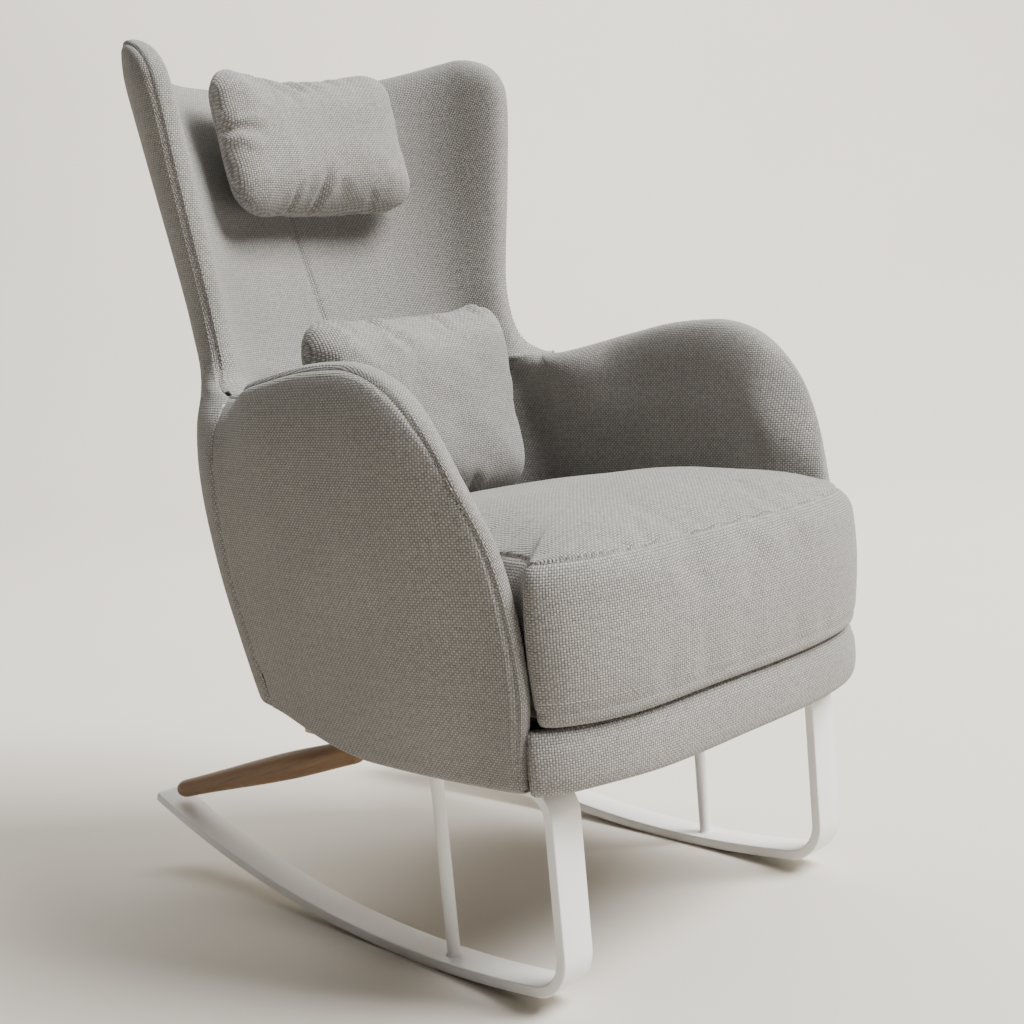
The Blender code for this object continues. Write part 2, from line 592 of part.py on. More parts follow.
for side, sign in SIDES:
    runner(f"{side}_runner", sign)
    x = sign * RUNNER_X
    # round post, its foot just clear of the rocker's faceted top
    foot = max(rocker_top(POST_Y - POST_R), rocker_top(POST_Y + POST_R)) + GAP
    top = SEAT_BOTTOM - GAP
    lathe(f"{side}_post", (x, POST_Y, foot), (0, 0, 1),
          [(0, POST_R * 0.93), (0.0008, POST_R), (top - foot - 0.0008, POST_R),
           (top - foot, POST_R * 0.93)], "white", 16)

    # tapered wooden leg; its foot is cut parallel to the rocker, its top to the seat
    foot_z = rocker_top(LEG_FOOT_Y) + LEG_FOOT_R * 1.25
    start = Vector((x, LEG_FOOT_Y, foot_z))
    end = Vector((x, LEG_TOP[0], LEG_TOP[1]))
    run = (end - start).length
    shape = [(0.0, 0.55), (0.006, 0.86), (0.016, 1.0)]
    profile = [(d, LEG_FOOT_R * f) for d, f in shape]
    for f in (0.15, 0.3, 0.45, 0.6, 0.7, 0.85, 0.97):
        r = LEG_FOOT_R + (LEG_MAX_R - LEG_FOOT_R) * smooth(0.0, 0.68, f)
        r += (LEG_TOP_R - LEG_MAX_R) * smooth(0.66, 1.0, f)
        profile.append((run * f, r))
    profile.append((run, LEG_TOP_R * 0.9))
    lathe(f"{side}_rear_leg", start, end - start, profile, "wood", 16)

    # steel plate between the leg's top and the cross rail
    box(f"{side}_leg_plate", (x - 0.030 if sign > 0 else x - 0.010,
                              x + 0.010 if sign > 0 else x + 0.030),
        (0.050, 0.135), (SEAT_BOTTOM - 0.0043, SEAT_BOTTOM - GAP), "steel", 0.0004)

    # fasteners, each a headed pin whose head bears on the bar's outer face
    for tag, y in (("front", -0.175), ("rear", -0.115)):
        z = TAB_TOP - BAR_T - GAP
        lathe(f"{side}_tab_bolt_{tag}", (x, y, z), (0, 0, -1),
              [(0, 0.0060), (0.0022, 0.0060), (0.0034, 0.0042)], "steel", 12)
    # screw head under the runner's tail, where it enters the wooden leg's foot
    under, normal = rocker_under(LEG_FOOT_Y)
    lathe(f"{side}_tail_screw", (x, under[0], under[1]), (0, normal[0], normal[1]),
          [(GAP, 0.0055), (0.0018, 0.0055), (0.0030, 0.0034)], "steel", 12)


# ---------------------------------------------------------------- loose pieces
def pivot(name, at):
    """Empty on a moving piece's slide axis."""
    obj = bpy.data.objects.new(name, None)
    bpy.context.scene.collection.objects.link(obj)
    obj.parent = root
    obj.location = at
    return obj


def pillow(name, spec, n_across=12, n_up=10):
    """Crowned cushion: two bowed faces that meet in an edge seam."""
    centre, width, height, thick, lean, wrap = spec
    hold = pivot(f"{name}_axis", centre)
    turn = Matrix.Rotation(math.radians(-lean), 3, "X")
    bm = bmesh.new()

    def at(i, j, face):
        a, b = 2 * i / n_across - 1, 2 * j / n_up - 1
        # rounded-rectangle outline with sides drawn in between the corners
        x = a * width / 2 * (1 - 0.10 * abs(b) ** 4) * (1 - 0.02 * (1 - b * b))
        z = b * height / 2 * (1 - 0.12 * abs(a) ** 4) * (1 - 0.02 * (1 - a * a))
        crown = (max(0.0, 1 - abs(a) ** 3.2) ** 0.55) * (max(0.0, 1 - abs(b) ** 3.2) ** 0.55)
        return turn @ Vector((x, face * thick / 2 * crown - wrap * a * a, z))

    front = {}
    back = {}
    for i in range(n_across + 1):
        for j in range(n_up + 1):
            border = i in (0, n_across) or j in (0, n_up)
            front[i, j] = bm.verts.new(at(i, j, -1))
            back[i, j] = front[i, j] if border else bm.verts.new(at(i, j, 1))
    for i in range(n_across):
        for j in range(n_up):
            for side_grid in (front, back):
                bm.faces.new([side_grid[i, j], side_grid[i + 1, j], side_grid[i + 1, j + 1],
                              side_grid[i, j + 1]])
    return add(name, bm, "fabric", hold)


def seat_cushion():
    """Thick cushion: straight sides between the arms and a full D-shaped front."""
    hold = pivot("seat_cushion_axis", (0.0, 0.0, DECK_TOP))
    half = list(CUSHION_SHAPE)
    outline = half + [(0.0, CUSHION_BACK)] + [(-x, y) for x, y in half[:0:-1]]
    mid, crown = Vector((0.0, -0.045)), 0.1925
    # a rounder ring well inside the outline, one point for each of its points
    inner = []
    for x, y in outline:
        angle = math.atan2(y - mid.y, x)
        c, s = math.cos(angle), math.sin(angle)
        inner.append(mid + Vector((math.copysign(0.150 * abs(c) ** 0.5, c),
                                   math.copysign(0.190 * abs(s) ** 0.5, s))))
    # height, how far in from the outline, and then how far on to the inner ring
    levels = [(0.0, 0.014, 0.0), (0.006, 0.004, 0.0), (0.018, 0.0, 0.0), (0.080, 0.0, 0.0),
              (0.146, 0.0, 0.0), (0.160, 0.006, 0.0), (0.170, 0.016, 0.05), (0.179, 0.016, 0.28),
              (0.187, 0.016, 0.65), (0.191, 0.016, 1.0)]
    loops = []
    for dz, inset, share in levels:
        loop = []
        for (x, y), core in zip(outline, inner):
            p = Vector((x, y)) - mid
            q = mid + p * (1 - inset / p.length)
            q = q.lerp(core, share)
            drop = CUSHION_SAG * smooth(-0.16, 0.16, q.y) * dz / crown
            loop.append((q.x, q.y, dz - drop))
        loops.append(loop)
    loops.append([(mid.x, mid.y, crown - CUSHION_SAG * smooth(-0.16, 0.16, mid.y))])
    return rings("seat_cushion", loops, "fabric", parent=hold)


def tape(name, spec, out, parent):
    """Flat hook-and-loop pad behind a pillow, `out` behind the pillow's middle plane."""
    centre, lean = spec[0], spec[4]
    turn = Matrix.Rotation(math.radians(-lean), 3, "X")
    base = Vector((0.0, 0.0, 0.0)) if parent else Vector(centre)
    loops = []
    for y in (out, out + TAPE_T):
        loops.append([base + turn @ Vector((x, y, z)) for x, z in (
            (-TAPE_W / 2, -TAPE_H / 2), (TAPE_W / 2, -TAPE_H / 2), (TAPE_W / 2, TAPE_H / 2),
            (-TAPE_W / 2, TAPE_H / 2))])
    return rings(name, loops, "black", parent=parent)


seat_cushion()
pillow("lumbar_pillow", LUMBAR)
head = pillow("head_pillow", HEAD)
pillow_back = HEAD[3] / 2 + GAP
tape("head_pillow_loop_tape", HEAD, pillow_back, head.parent)
tape("back_hook_tape", HEAD, pillow_back + TAPE_T + GAP, None)
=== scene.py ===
"""Looks of the winged rocking armchair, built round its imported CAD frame.

Shapes are worked out in a frame whose origin is where the runners touch the ground, and every
piece is moved by SHIFT into the row frame when it is made.
"""
import math

import bmesh
import bpy
import numpy as np
from mathutils import Matrix, Vector
from mathutils.kdtree import KDTree


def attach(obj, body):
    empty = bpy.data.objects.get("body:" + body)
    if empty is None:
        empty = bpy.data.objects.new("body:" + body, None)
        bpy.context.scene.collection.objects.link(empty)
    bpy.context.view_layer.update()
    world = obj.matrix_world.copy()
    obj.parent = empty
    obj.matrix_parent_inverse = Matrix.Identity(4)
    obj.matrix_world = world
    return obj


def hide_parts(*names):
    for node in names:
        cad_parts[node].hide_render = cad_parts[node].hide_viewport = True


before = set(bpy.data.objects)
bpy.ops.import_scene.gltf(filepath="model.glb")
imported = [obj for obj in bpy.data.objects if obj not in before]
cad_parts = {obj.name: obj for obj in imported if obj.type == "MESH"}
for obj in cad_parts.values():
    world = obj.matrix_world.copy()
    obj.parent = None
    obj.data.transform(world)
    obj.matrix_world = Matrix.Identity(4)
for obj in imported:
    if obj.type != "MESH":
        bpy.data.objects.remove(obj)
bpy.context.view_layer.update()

SHIFT = np.array((0.0, -0.10488, 0.0))
FORWARD = np.array((0.0, -1.0, 0.0))

# ---------------------------------------------------------------- the shell's shape (metres)
SIDE_HALF = ((0.245, 0.281), (0.31, 0.295), (0.40, 0.310), (0.50, 0.322), (0.58, 0.3245),
             (0.64, 0.318), (0.67, 0.312))
TUCK = ((0.245, 0.008), (0.31, 0.018), (0.40, 0.032), (0.50, 0.036), (0.58, 0.030),
        (0.66, 0.020))
ARM_THICK = ((0.245, 0.058), (0.31, 0.066), (0.45, 0.073), (0.58, 0.074), (0.67, 0.070))
EDGE_X = ((0.245, 0.270), (0.31, 0.283), (0.40, 0.298), (0.50, 0.309), (0.56, 0.308),
          (0.60, 0.297), (0.632, 0.272), (0.66, 0.252), (0.70, 0.248), (0.74, 0.250),
          (0.86, 0.269), (0.97, 0.283), (1.00, 0.284), (1.04, 0.280))
EDGE_Y = ((0.245, 0.158), (0.35, 0.167), (0.42, 0.174), (0.56, 0.175), (0.60, 0.184),
          (0.632, 0.210), (0.66, 0.240), (0.70, 0.253), (0.74, 0.257), (0.86, 0.257),
          (0.97, 0.258), (1.00, 0.264), (1.02, 0.274), (1.04, 0.296))
EDGE_THICK = ((0.245, 0.058), (0.31, 0.066), (0.45, 0.071), (0.60, 0.068), (0.66, 0.052),
              (0.74, 0.048), (0.90, 0.050), (1.04, 0.044))
BACK_Y = ((0.245, 0.320), (0.35, 0.352), (0.55, 0.400), (0.75, 0.450), (0.90, 0.488),
          (1.04, 0.528))
INNER_Y = ((0.245, 0.225), (0.31, 0.240), (0.45, 0.264), (0.60, 0.306), (0.716, 0.356),
           (0.844, 0.401), (0.95, 0.438), (1.04, 0.474))
ARM_FRONT = ((-0.234, 0.2450), (-0.238, 0.300), (-0.237, 0.350), (-0.232, 0.400),
             (-0.225, 0.446), (-0.214, 0.492), (-0.199, 0.533))
ARM_TOP = ((-0.199, 0.533), (-0.178, 0.577), (-0.149, 0.614), (-0.118, 0.637), (-0.080, 0.650),
           (-0.040, 0.6525), (0.010, 0.650), (0.060, 0.643), (0.110, 0.636), (0.160, 0.631),
           (0.193, 0.632))
LOW_Z, DIP_Z, SEAT_ROW = 0.281, 0.632, 0.314
DIP_TURN = 0.018             # radius of the bend between the wing's edge and the arm's top
FRONT_Y = -0.303
FRONT_CURVE = ((0.0, 0.0), (0.06, 0.0005), (0.12, 0.003), (0.165, 0.008), (0.205, 0.017),
               (0.235, 0.0285), (0.255, 0.0415), (0.2700, 0.0575))
CUSHION_SHAPE = ((0.0, -0.309), (0.06, -0.3085), (0.12, -0.3065), (0.165, -0.3015),
                 (0.205, -0.292), (0.233, -0.2795), (0.249, -0.2675), (0.2565, -0.2565),
                 (0.2545, -0.2480), (0.2470, -0.2410), (0.2390, -0.2290),
                 (0.2345, -0.205), (0.229, -0.160), (0.2245, -0.110), (0.2235, -0.02),
                 (0.218, 0.07), (0.204, 0.130), (0.170, 0.178), (0.120, 0.200), (0.06, 0.205),
                 (0.0, 0.205))
CUSHION_SAG = 0.022          # how much lower the cushion's top is at the back
DECK_TOP = 0.3045
LUMBAR = ((0.028, 0.2180, 0.5800), 0.336, 0.262, 0.108, 6.0, 0.006)
HEAD = ((0.010, 0.3690, 0.9270), 0.280, 0.192, 0.092, 13.0, 0.024)

RIM = 0.046                  # how far in from a free edge its rounding starts
RIM_BULGE = 0.009
RIM_MID = 0.47               # share of the thickness where the rim reaches furthest
POWER_IN, POWER_OUT = 2.1, 3.4   # the rounding is broad inside and tight outside
SEAM_Q = 0.92                # the rim seam sits where the outside rounding is at this share
FLANGE = 0.14                # share of the thickness that seam allowances turn inwards
FABRIC_T = 0.006             # thickness of the padded skin that each fabric piece is made as
FLANGE_T = 0.0006            # and of its seam allowances


# ---------------------------------------------------------------- helpers
def smooth(lo, hi, x):
    t = np.clip((np.asarray(x, float) - lo) / (hi - lo), 0.0, 1.0)
    return t * t * (3 - 2 * t)


def curve(table):
    """Function through a table of (position, value), by Catmull-Rom interpolation."""
    xs, ys = np.array(table, float).T
    n = len(xs)
    a, b = np.maximum(np.arange(n) - 1, 0), np.minimum(np.arange(n) + 1, n - 1)
    slope = (ys[b] - ys[a]) / (xs[b] - xs[a])

    def value(x):
        x = np.asarray(x, float)
        i = np.clip(np.searchsorted(xs, x, side="right") - 1, 0, n - 2)
        span = xs[i + 1] - xs[i]
        t = np.clip((x - xs[i]) / span, 0.0, 1.0)
        return ((2 * t**3 - 3 * t**2 + 1) * ys[i] + (t**3 - 2 * t**2 + t) * span * slope[i]
                + (-2 * t**3 + 3 * t**2) * ys[i + 1] + (t**3 - t**2) * span * slope[i + 1])
    return value


def spline(points, per=16, closed=False):
    """Dense smooth polyline through points of any dimension."""
    p = np.array(points, float)
    n = len(p)
    out = []
    for i in range(n if closed else n - 1):
        k = [(i + d) % n if closed else min(max(i + d, 0), n - 1) for d in (-1, 0, 1, 2)]
        p0, p1, p2, p3 = p[k]
        for t in np.arange(per) / per:
            out.append(0.5 * ((2 * p1) + (p2 - p0) * t + (2 * p0 - 5 * p1 + 4 * p2 - p3) * t * t
                              + (3 * p1 - p0 - 3 * p2 + p3) * t**3))
    if not closed:
        out.append(p[-1])
    return np.array(out)


def lengths(line):
    return np.concatenate([[0.0], np.cumsum(np.linalg.norm(np.diff(line, axis=0), axis=1))])


def along(line, f):
    """Points at fractions f of a dense polyline's length."""
    run = lengths(line)
    want = np.clip(f, 0.0, 1.0) * run[-1]
    return np.stack([np.interp(want, run, line[:, k]) for k in range(line.shape[1])], -1)


def resample(line, count, closed=False):
    if closed:
        line = np.vstack([line, line[:1]])
        return along(line, np.arange(count) / count)
    return along(line, np.linspace(0.0, 1.0, count))


def grid_faces(rows, cols, first=0, wrap=False):
    out = []
    for i in range(rows - 1):
        for j in range(cols if wrap else cols - 1):
            k = (j + 1) % cols
            out.append((first + i * cols + j, first + i * cols + k,
                        first + (i + 1) * cols + k, first + (i + 1) * cols + j))
    return out


def weld(verts, faces, extra, near=3e-5):
    """Merge vertices that coincide, and drop faces that vanish."""
    keys = np.round(verts / near).astype(np.int64)
    seen, index, keep = {}, [], []
    for i, key in enumerate(map(tuple, keys)):
        if key not in seen:
            seen[key] = len(keep)
            keep.append(i)
        index.append(seen[key])
    done = []
    for f in faces:
        g = []
        for v in f:
            if not g or index[v] != g[-1]:
                g.append(index[v])
        if g[0] == g[-1]:
            g.pop()
        if len(g) > 2 and len(set(g)) == len(g):
            done.append(tuple(g))
    return verts[keep], done, [e[keep] for e in extra]


def normals(verts, faces):
    out = np.zeros_like(verts)
    for f in faces:
        p = verts[list(f)]
        if len(f) > 3:
            n = np.cross(p[2] - p[0], p[3] - p[1])
        else:
            n = np.cross(p[1] - p[0], p[2] - p[0])
        for v in f:
            out[v] += n
    size = np.linalg.norm(out, axis=1)
    return out / np.maximum(size, 1e-12)[:, None]


def facing(verts, faces, way):
    """A sheet's normals, turned so that most of them point the given way."""
    n = normals(verts, faces)
    return -n if np.sum(n * way) < 0 else n


def skin(verts, faces, cloth, thickness, outside):
    """Give a sheet a thickness inwards; outside is the direction most of it faces."""
    n = normals(verts, faces)
    if np.sum(n * outside) < 0:
        faces = [f[::-1] for f in faces]
        n = -n
    count = len(verts)
    edges = {}
    for f in faces:
        for a, b in zip(f, f[1:] + f[:1]):
            edges[a, b] = True
    border = [(a, b) for a, b in edges if (b, a) not in edges]
    every = list(faces) + [tuple(v + count for v in f[::-1]) for f in faces]
    every += [(b, a, a + count, b + count) for a, b in border]
    return (np.vstack([verts, verts - n * np.reshape(thickness, (-1, 1))]), every,
            np.vstack([cloth, cloth]) if cloth is not None else None)


def make(name, verts, faces, mat, body, cloth=None, corner_cloth=None):
    """A mesh object in the row frame that rides on a body; cloth is the weave's own position."""
    mesh = bpy.data.meshes.new(name)
    mesh.from_pydata((np.asarray(verts) + SHIFT).tolist(), [],
                     [tuple(int(v) for v in f) for f in faces])
    mesh.validate()
    mesh.update()
    if cloth is not None or corner_cloth is not None:
        layer = mesh.attributes.new("cloth_co", "FLOAT_VECTOR", "CORNER")
        if corner_cloth is None:
            loop = np.zeros(len(mesh.loops), np.int64)
            mesh.loops.foreach_get("vertex_index", loop)
            corner_cloth = np.asarray(cloth)[loop]
        data = np.zeros((len(mesh.loops), 3), np.float32)
        data[:, :corner_cloth.shape[1]] = corner_cloth
        layer.data.foreach_set("vector", data.ravel())
    mesh.polygons.foreach_set("use_smooth", [True] * len(mesh.polygons))
    obj = bpy.data.objects.new(name, mesh)
    bpy.context.scene.collection.objects.link(obj)
    bm = bmesh.new()
    bm.from_mesh(mesh)
    if bm.calc_volume(signed=True) < 0:
        bmesh.ops.reverse_faces(bm, faces=bm.faces)
        bm.to_mesh(mesh)
    bm.free()
    mesh.materials.append(mat)
    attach(obj, body)
    return obj


def sharpen(obj, degrees=40.0):
    """Flat faces keep a crisp edge where they meet at more than this angle."""
    mesh = obj.data
    bm = bmesh.new()
    bm.from_mesh(mesh)
    for e in bm.edges:
        if len(e.link_faces) == 2 and e.calc_face_angle() > math.radians(degrees):
            e.smooth = False
    bm.to_mesh(mesh)
    bm.free()


def value_noise(points, scale, seed):
    """Smooth repeatable noise in -1..1 at points, from a few waves in fixed directions."""
    rng = np.random.default_rng(seed)
    total = np.zeros(len(points))
    for _ in range(9):
        d = rng.normal(size=3)
        d /= np.linalg.norm(d)
        f = 2 * math.pi / (scale * rng.uniform(0.7, 1.6))
        total += np.sin(points @ d * f + rng.uniform(0, 2 * math.pi))
    return total / 9 * 1.7


# ---------------------------------------------------------------- materials
class Nodes:
    """Short hand for building a material's nodes."""

    def __init__(self, name):
        self.mat = bpy.data.materials.new(name)
        self.mat.use_nodes = True
        self.tree = self.mat.node_tree
        self.shader = self.tree.nodes["Principled BSDF"]

    def node(self, kind, **values):
        n = self.tree.nodes.new(kind)
        for key, value in values.items():
            setattr(n, key, value)
        return n

    def put(self, socket, value):
        if isinstance(value, bpy.types.NodeSocket):
            self.tree.links.new(value, socket)
        else:
            socket.default_value = value

    def math(self, op, a, b=0.0, c=None):
        n = self.node("ShaderNodeMath", operation=op)
        self.put(n.inputs[0], a)
        self.put(n.inputs[1], b)
        if c is not None:
            self.put(n.inputs[2], c)
        return n.outputs[0]

    def mix(self, f, a, b, mode="MIX"):
        n = self.node("ShaderNodeMix", data_type="RGBA", blend_type=mode)
        self.put(n.inputs["Factor"], f)
        self.put(n.inputs["A"], a)
        self.put(n.inputs["B"], b)
        return n.outputs["Result"]

    def either(self, f, a, b):
        n = self.node("ShaderNodeMix", data_type="FLOAT")
        for name, value in (("Factor", f), ("A", a), ("B", b)):
            self.put(n.inputs[name], value)
        return n.outputs["Result"]

    def noise(self, vector, scale, detail=2.0, rough=0.5, dim="3D"):
        n = self.node("ShaderNodeTexNoise", noise_dimensions=dim)
        self.put(n.inputs["Vector"], vector)
        n.inputs["Scale"].default_value = scale
        n.inputs["Detail"].default_value = detail
        n.inputs["Roughness"].default_value = rough
        return n.outputs["Fac"]

    def stretch(self, vector, factors):
        n = self.node("ShaderNodeVectorMath", operation="MULTIPLY")
        self.put(n.inputs[0], vector)
        n.inputs[1].default_value = factors
        return n.outputs[0]

    def span(self, value, lo, hi, out_lo, out_hi):
        n = self.node("ShaderNodeMapRange")
        for socket, v in zip(n.inputs[:5], (value, lo, hi, out_lo, out_hi)):
            self.put(socket, v)
        return n.outputs[0]

    def bump(self, height, strength, distance, normal=None):
        n = self.node("ShaderNodeBump")
        n.inputs["Strength"].default_value = strength
        n.inputs["Distance"].default_value = distance
        self.put(n.inputs["Height"], height)
        if normal is not None:
            self.put(n.inputs["Normal"], normal)
        return n.outputs[0]

    def finish(self, colour=None, roughness=None, normal=None, **constants):
        for name, value in (("Base Color", colour), ("Roughness", roughness),
                            ("Normal", normal)):
            if value is not None:
                self.put(self.shader.inputs[name], value)
        for name, value in constants.items():
            self.shader.inputs[name.replace("_", " ")].default_value = value
        return self.mat


def grey(v, warm=0.0):
    return (v * (1 + warm), v, v * (1 - 1.6 * warm), 1.0)


def weave(name, tone, warm, pitch=0.0027, contrast=1.0):
    """Chunky plain weave of melange yarn, laid out by each piece's own cloth position."""
    m = Nodes(name)
    at = m.node("ShaderNodeAttribute", attribute_name="cloth_co").outputs["Vector"]
    # the yarns wander a little, so the grid isn't ruled
    drift = m.node("ShaderNodeTexNoise", noise_dimensions="3D")
    m.put(drift.inputs["Vector"], at)
    drift.inputs["Scale"].default_value = 45.0
    drift.inputs["Detail"].default_value = 2.0
    shift = m.node("ShaderNodeVectorMath", operation="MULTIPLY_ADD")
    m.put(shift.inputs[0], drift.outputs["Color"])
    shift.inputs[1].default_value = (0.0016, 0.0016, 0.0)
    m.put(shift.inputs[2], at)
    part = m.node("ShaderNodeSeparateXYZ")
    m.put(part.inputs[0], shift.outputs[0])
    u = m.math("DIVIDE", part.outputs[0], pitch)
    v = m.math("DIVIDE", part.outputs[1], pitch * 0.94)
    iu, iv = m.math("FLOOR", u), m.math("FLOOR", v)
    fu = m.math("SUBTRACT", m.math("FRACT", u), 0.5)
    fv = m.math("SUBTRACT", m.math("FRACT", v), 0.5)
    over = m.math("FLOORED_MODULO", m.math("ADD", iu, iv), 2.0)     # 1 where the warp is on top

    def hump(across, run):
        side = m.math("MULTIPLY", across, across)
        ends = m.math("MULTIPLY", run, run)
        h = m.math("SUBTRACT", 1.0, m.math("MULTIPLY", side, 3.4))
        return m.math("SUBTRACT", h, m.math("MULTIPLY", ends, 2.3))

    warp, weft = hump(fu, fv), hump(fv, fu)
    height = m.either(over, weft, warp)

    # each yarn has its own tone, and fibres of lighter and darker grey run along it
    def yarn(index, seed):
        n = m.node("ShaderNodeTexWhiteNoise", noise_dimensions="2D")
        join = m.node("ShaderNodeCombineXYZ")
        m.put(join.inputs[0], index)
        join.inputs[1].default_value = seed
        m.put(n.inputs["Vector"], join.outputs[0])
        return n.outputs["Value"]

    warp_tone = m.math("ADD", m.math("MULTIPLY", yarn(iu, 3.0), 0.08), 1.02)
    weft_tone = m.math("ADD", m.math("MULTIPLY", yarn(iv, 8.0), 0.08), 0.70)
    yarn_tone = m.either(over, weft_tone, warp_tone)
    fibre = m.noise(at, 620.0, 3.0, 0.65)
    melange = m.noise(at, 170.0, 3.0, 0.7)
    cloud = m.noise(at, 9.0, 3.0, 0.55)
    # the weave's height paints its low points between the yarns darker and its crowns lighter
    # (painted shade in the hollows, a painted highlight on top), multiplied in with the yarn
    # tones, fibres, melange and cloud
    tone_and_painted_shade = m.math("MULTIPLY", yarn_tone,
                   m.span(height, -0.5, 0.9, 1.0 - 0.62 * contrast, 1.0 + 0.16 * contrast))
    tone_and_painted_shade = m.math("MULTIPLY", tone_and_painted_shade, m.span(fibre, 0.25, 0.75, 0.74, 1.26))
    tone_and_painted_shade = m.math("MULTIPLY", tone_and_painted_shade, m.span(melange, 0.3, 0.7, 0.80, 1.20))
    tone_and_painted_shade = m.math("MULTIPLY", tone_and_painted_shade, m.span(cloud, 0.3, 0.7, 0.95, 1.05))
    hue = m.mix(m.span(melange, 0.35, 0.65, 0.0, 1.0), grey(tone, warm - 0.012),
                grey(tone, warm + 0.022))
    bright = m.node("ShaderNodeVectorMath", operation="SCALE")
    m.put(bright.inputs[0], hue)
    m.put(bright.inputs["Scale"], tone_and_painted_shade)
    rough_height = m.math("ADD", height, m.math("MULTIPLY", fibre, 0.35))
    normal = m.bump(rough_height, 0.55 * contrast, 0.0011)
    rough = m.span(fibre, 0.2, 0.8, 0.82, 0.97)
    return m.finish(bright.outputs[0], rough, normal, Sheen_Weight=0.22, Sheen_Roughness=0.45,
                    Specular_IOR_Level=0.18)


def painted():
    m = Nodes("satin_white_steel")
    at = m.node("ShaderNodeTexCoord").outputs["Object"]
    orange = m.noise(at, 900.0, 2.0, 0.5)
    broad = m.noise(at, 6.0, 3.0, 0.6)
    scuff = m.noise(m.stretch(at, (1.0, 0.35, 1.0)), 55.0, 5.0, 0.75)
    colour = m.mix(m.span(broad, 0.3, 0.7, 0.0, 1.0), (0.90, 0.90, 0.885, 1),
                   (0.94, 0.94, 0.925, 1))
    colour = m.mix(m.span(scuff, 0.70, 0.80, 0.0, 0.35), colour, (0.78, 0.77, 0.74, 1))
    rough = m.span(scuff, 0.3, 0.75, 0.34, 0.50)
    return m.finish(colour, rough, m.bump(orange, 0.10, 0.0004), Coat_Weight=0.12,
                    Coat_Roughness=0.25)


def timber(name, dark, light, rough_lo=0.38, rough_hi=0.60, along_axis=(0.0, 0.94, -0.34)):
    """Straight-grained wood: rings and pores drawn out along one direction."""
    m = Nodes(name)
    at = m.node("ShaderNodeTexCoord").outputs["Object"]
    turn = m.node("ShaderNodeMapping", vector_type="POINT")
    m.put(turn.inputs["Vector"], at)
    quat = Vector(along_axis).normalized().rotation_difference(Vector((0, 0, 1)))
    turn.inputs["Rotation"].default_value = quat.to_euler()
    v = turn.outputs[0]
    waver = m.noise(m.stretch(v, (9.0, 9.0, 2.2)), 1.0, 3.0, 0.6)
    broad = m.noise(m.stretch(v, (150.0, 150.0, 5.0)), 1.0, 4.0, 0.62)
    fine = m.noise(m.stretch(v, (1100.0, 1100.0, 22.0)), 1.0, 3.0, 0.6)
    pores = m.noise(m.stretch(v, (2100.0, 2100.0, 85.0)), 1.0, 2.0, 0.5)
    tone = m.math("ADD", m.math("MULTIPLY", broad, 0.65), m.math("MULTIPLY", fine, 0.35))
    tone = m.math("ADD", tone, m.math("MULTIPLY", m.math("SUBTRACT", waver, 0.5), 0.5))
    colour = m.mix(m.span(tone, 0.32, 0.68, 0.0, 1.0), dark, light)
    pit = m.span(pores, 0.60, 0.72, 0.0, 1.0)
    colour = m.mix(m.math("MULTIPLY", pit, 0.55), colour,
                   tuple(0.35 * c for c in dark[:3]) + (1,))
    rough = m.span(tone, 0.3, 0.7, rough_lo, rough_hi)
    height = m.math("SUBTRACT", m.math("MULTIPLY", fine, 0.4), m.math("MULTIPLY", pit, 0.6))
    return m.finish(colour, rough, m.bump(height, 0.25, 0.0005), Specular_IOR_Level=0.4)


def plywood():
    m = Nodes("moulded_plywood")
    at = m.node("ShaderNodeTexCoord").outputs["Object"]
    grain = m.noise(m.stretch(at, (240.0, 240.0, 8.0)), 1.0, 4.0, 0.6)
    broad = m.noise(m.stretch(at, (14.0, 14.0, 2.0)), 1.0, 2.0, 0.5)
    tone = m.math("ADD", m.math("MULTIPLY", grain, 0.7), m.math("MULTIPLY", broad, 0.3))
    colour = m.mix(m.span(tone, 0.3, 0.7, 0.0, 1.0), (0.50, 0.36, 0.22, 1), (0.74, 0.60, 0.42, 1))
    return m.finish(colour, m.span(grain, 0.3, 0.7, 0.55, 0.75), m.bump(grain, 0.2, 0.0004))


def zinc():
    m = Nodes("zinc_plated_steel")
    at = m.node("ShaderNodeTexCoord").outputs["Object"]
    spangle = m.noise(at, 420.0, 2.0, 0.5)
    stain = m.noise(at, 60.0, 4.0, 0.7)
    colour = m.mix(m.span(spangle, 0.3, 0.7, 0.0, 1.0), (0.44, 0.45, 0.46, 1),
                   (0.62, 0.63, 0.64, 1))
    return m.finish(colour, m.span(stain, 0.3, 0.7, 0.28, 0.46), m.bump(spangle, 0.08, 0.0003),
                    Metallic=1.0)


def black_cloth(name, pitch, low, high):
    m = Nodes(name)
    at = m.node("ShaderNodeTexCoord").outputs["Object"]
    grid = m.node("ShaderNodeTexChecker")
    m.put(grid.inputs["Vector"], at)
    grid.inputs["Scale"].default_value = 1.0 / pitch
    fuzz = m.noise(at, 900.0, 3.0, 0.7)
    tone = m.math("ADD", m.math("MULTIPLY", grid.outputs["Fac"], 0.4),
                  m.math("MULTIPLY", fuzz, 0.6))
    colour = m.mix(tone, (low, low, low, 1), (high, high, high * 1.03, 1))
    return m.finish(colour, m.span(fuzz, 0.3, 0.7, 0.85, 0.97), m.bump(tone, 0.4, 0.0006),
                    Sheen_Weight=0.1)


def thread():
    m = Nodes("seam_thread")
    at = m.node("ShaderNodeTexCoord").outputs["Object"]
    twist = m.noise(at, 1500.0, 2.0, 0.6)
    return m.finish(m.mix(twist, grey(0.30, 0.03), grey(0.46, 0.03)),
                    m.span(twist, 0.3, 0.7, 0.6, 0.8), m.bump(twist, 0.4, 0.0002))


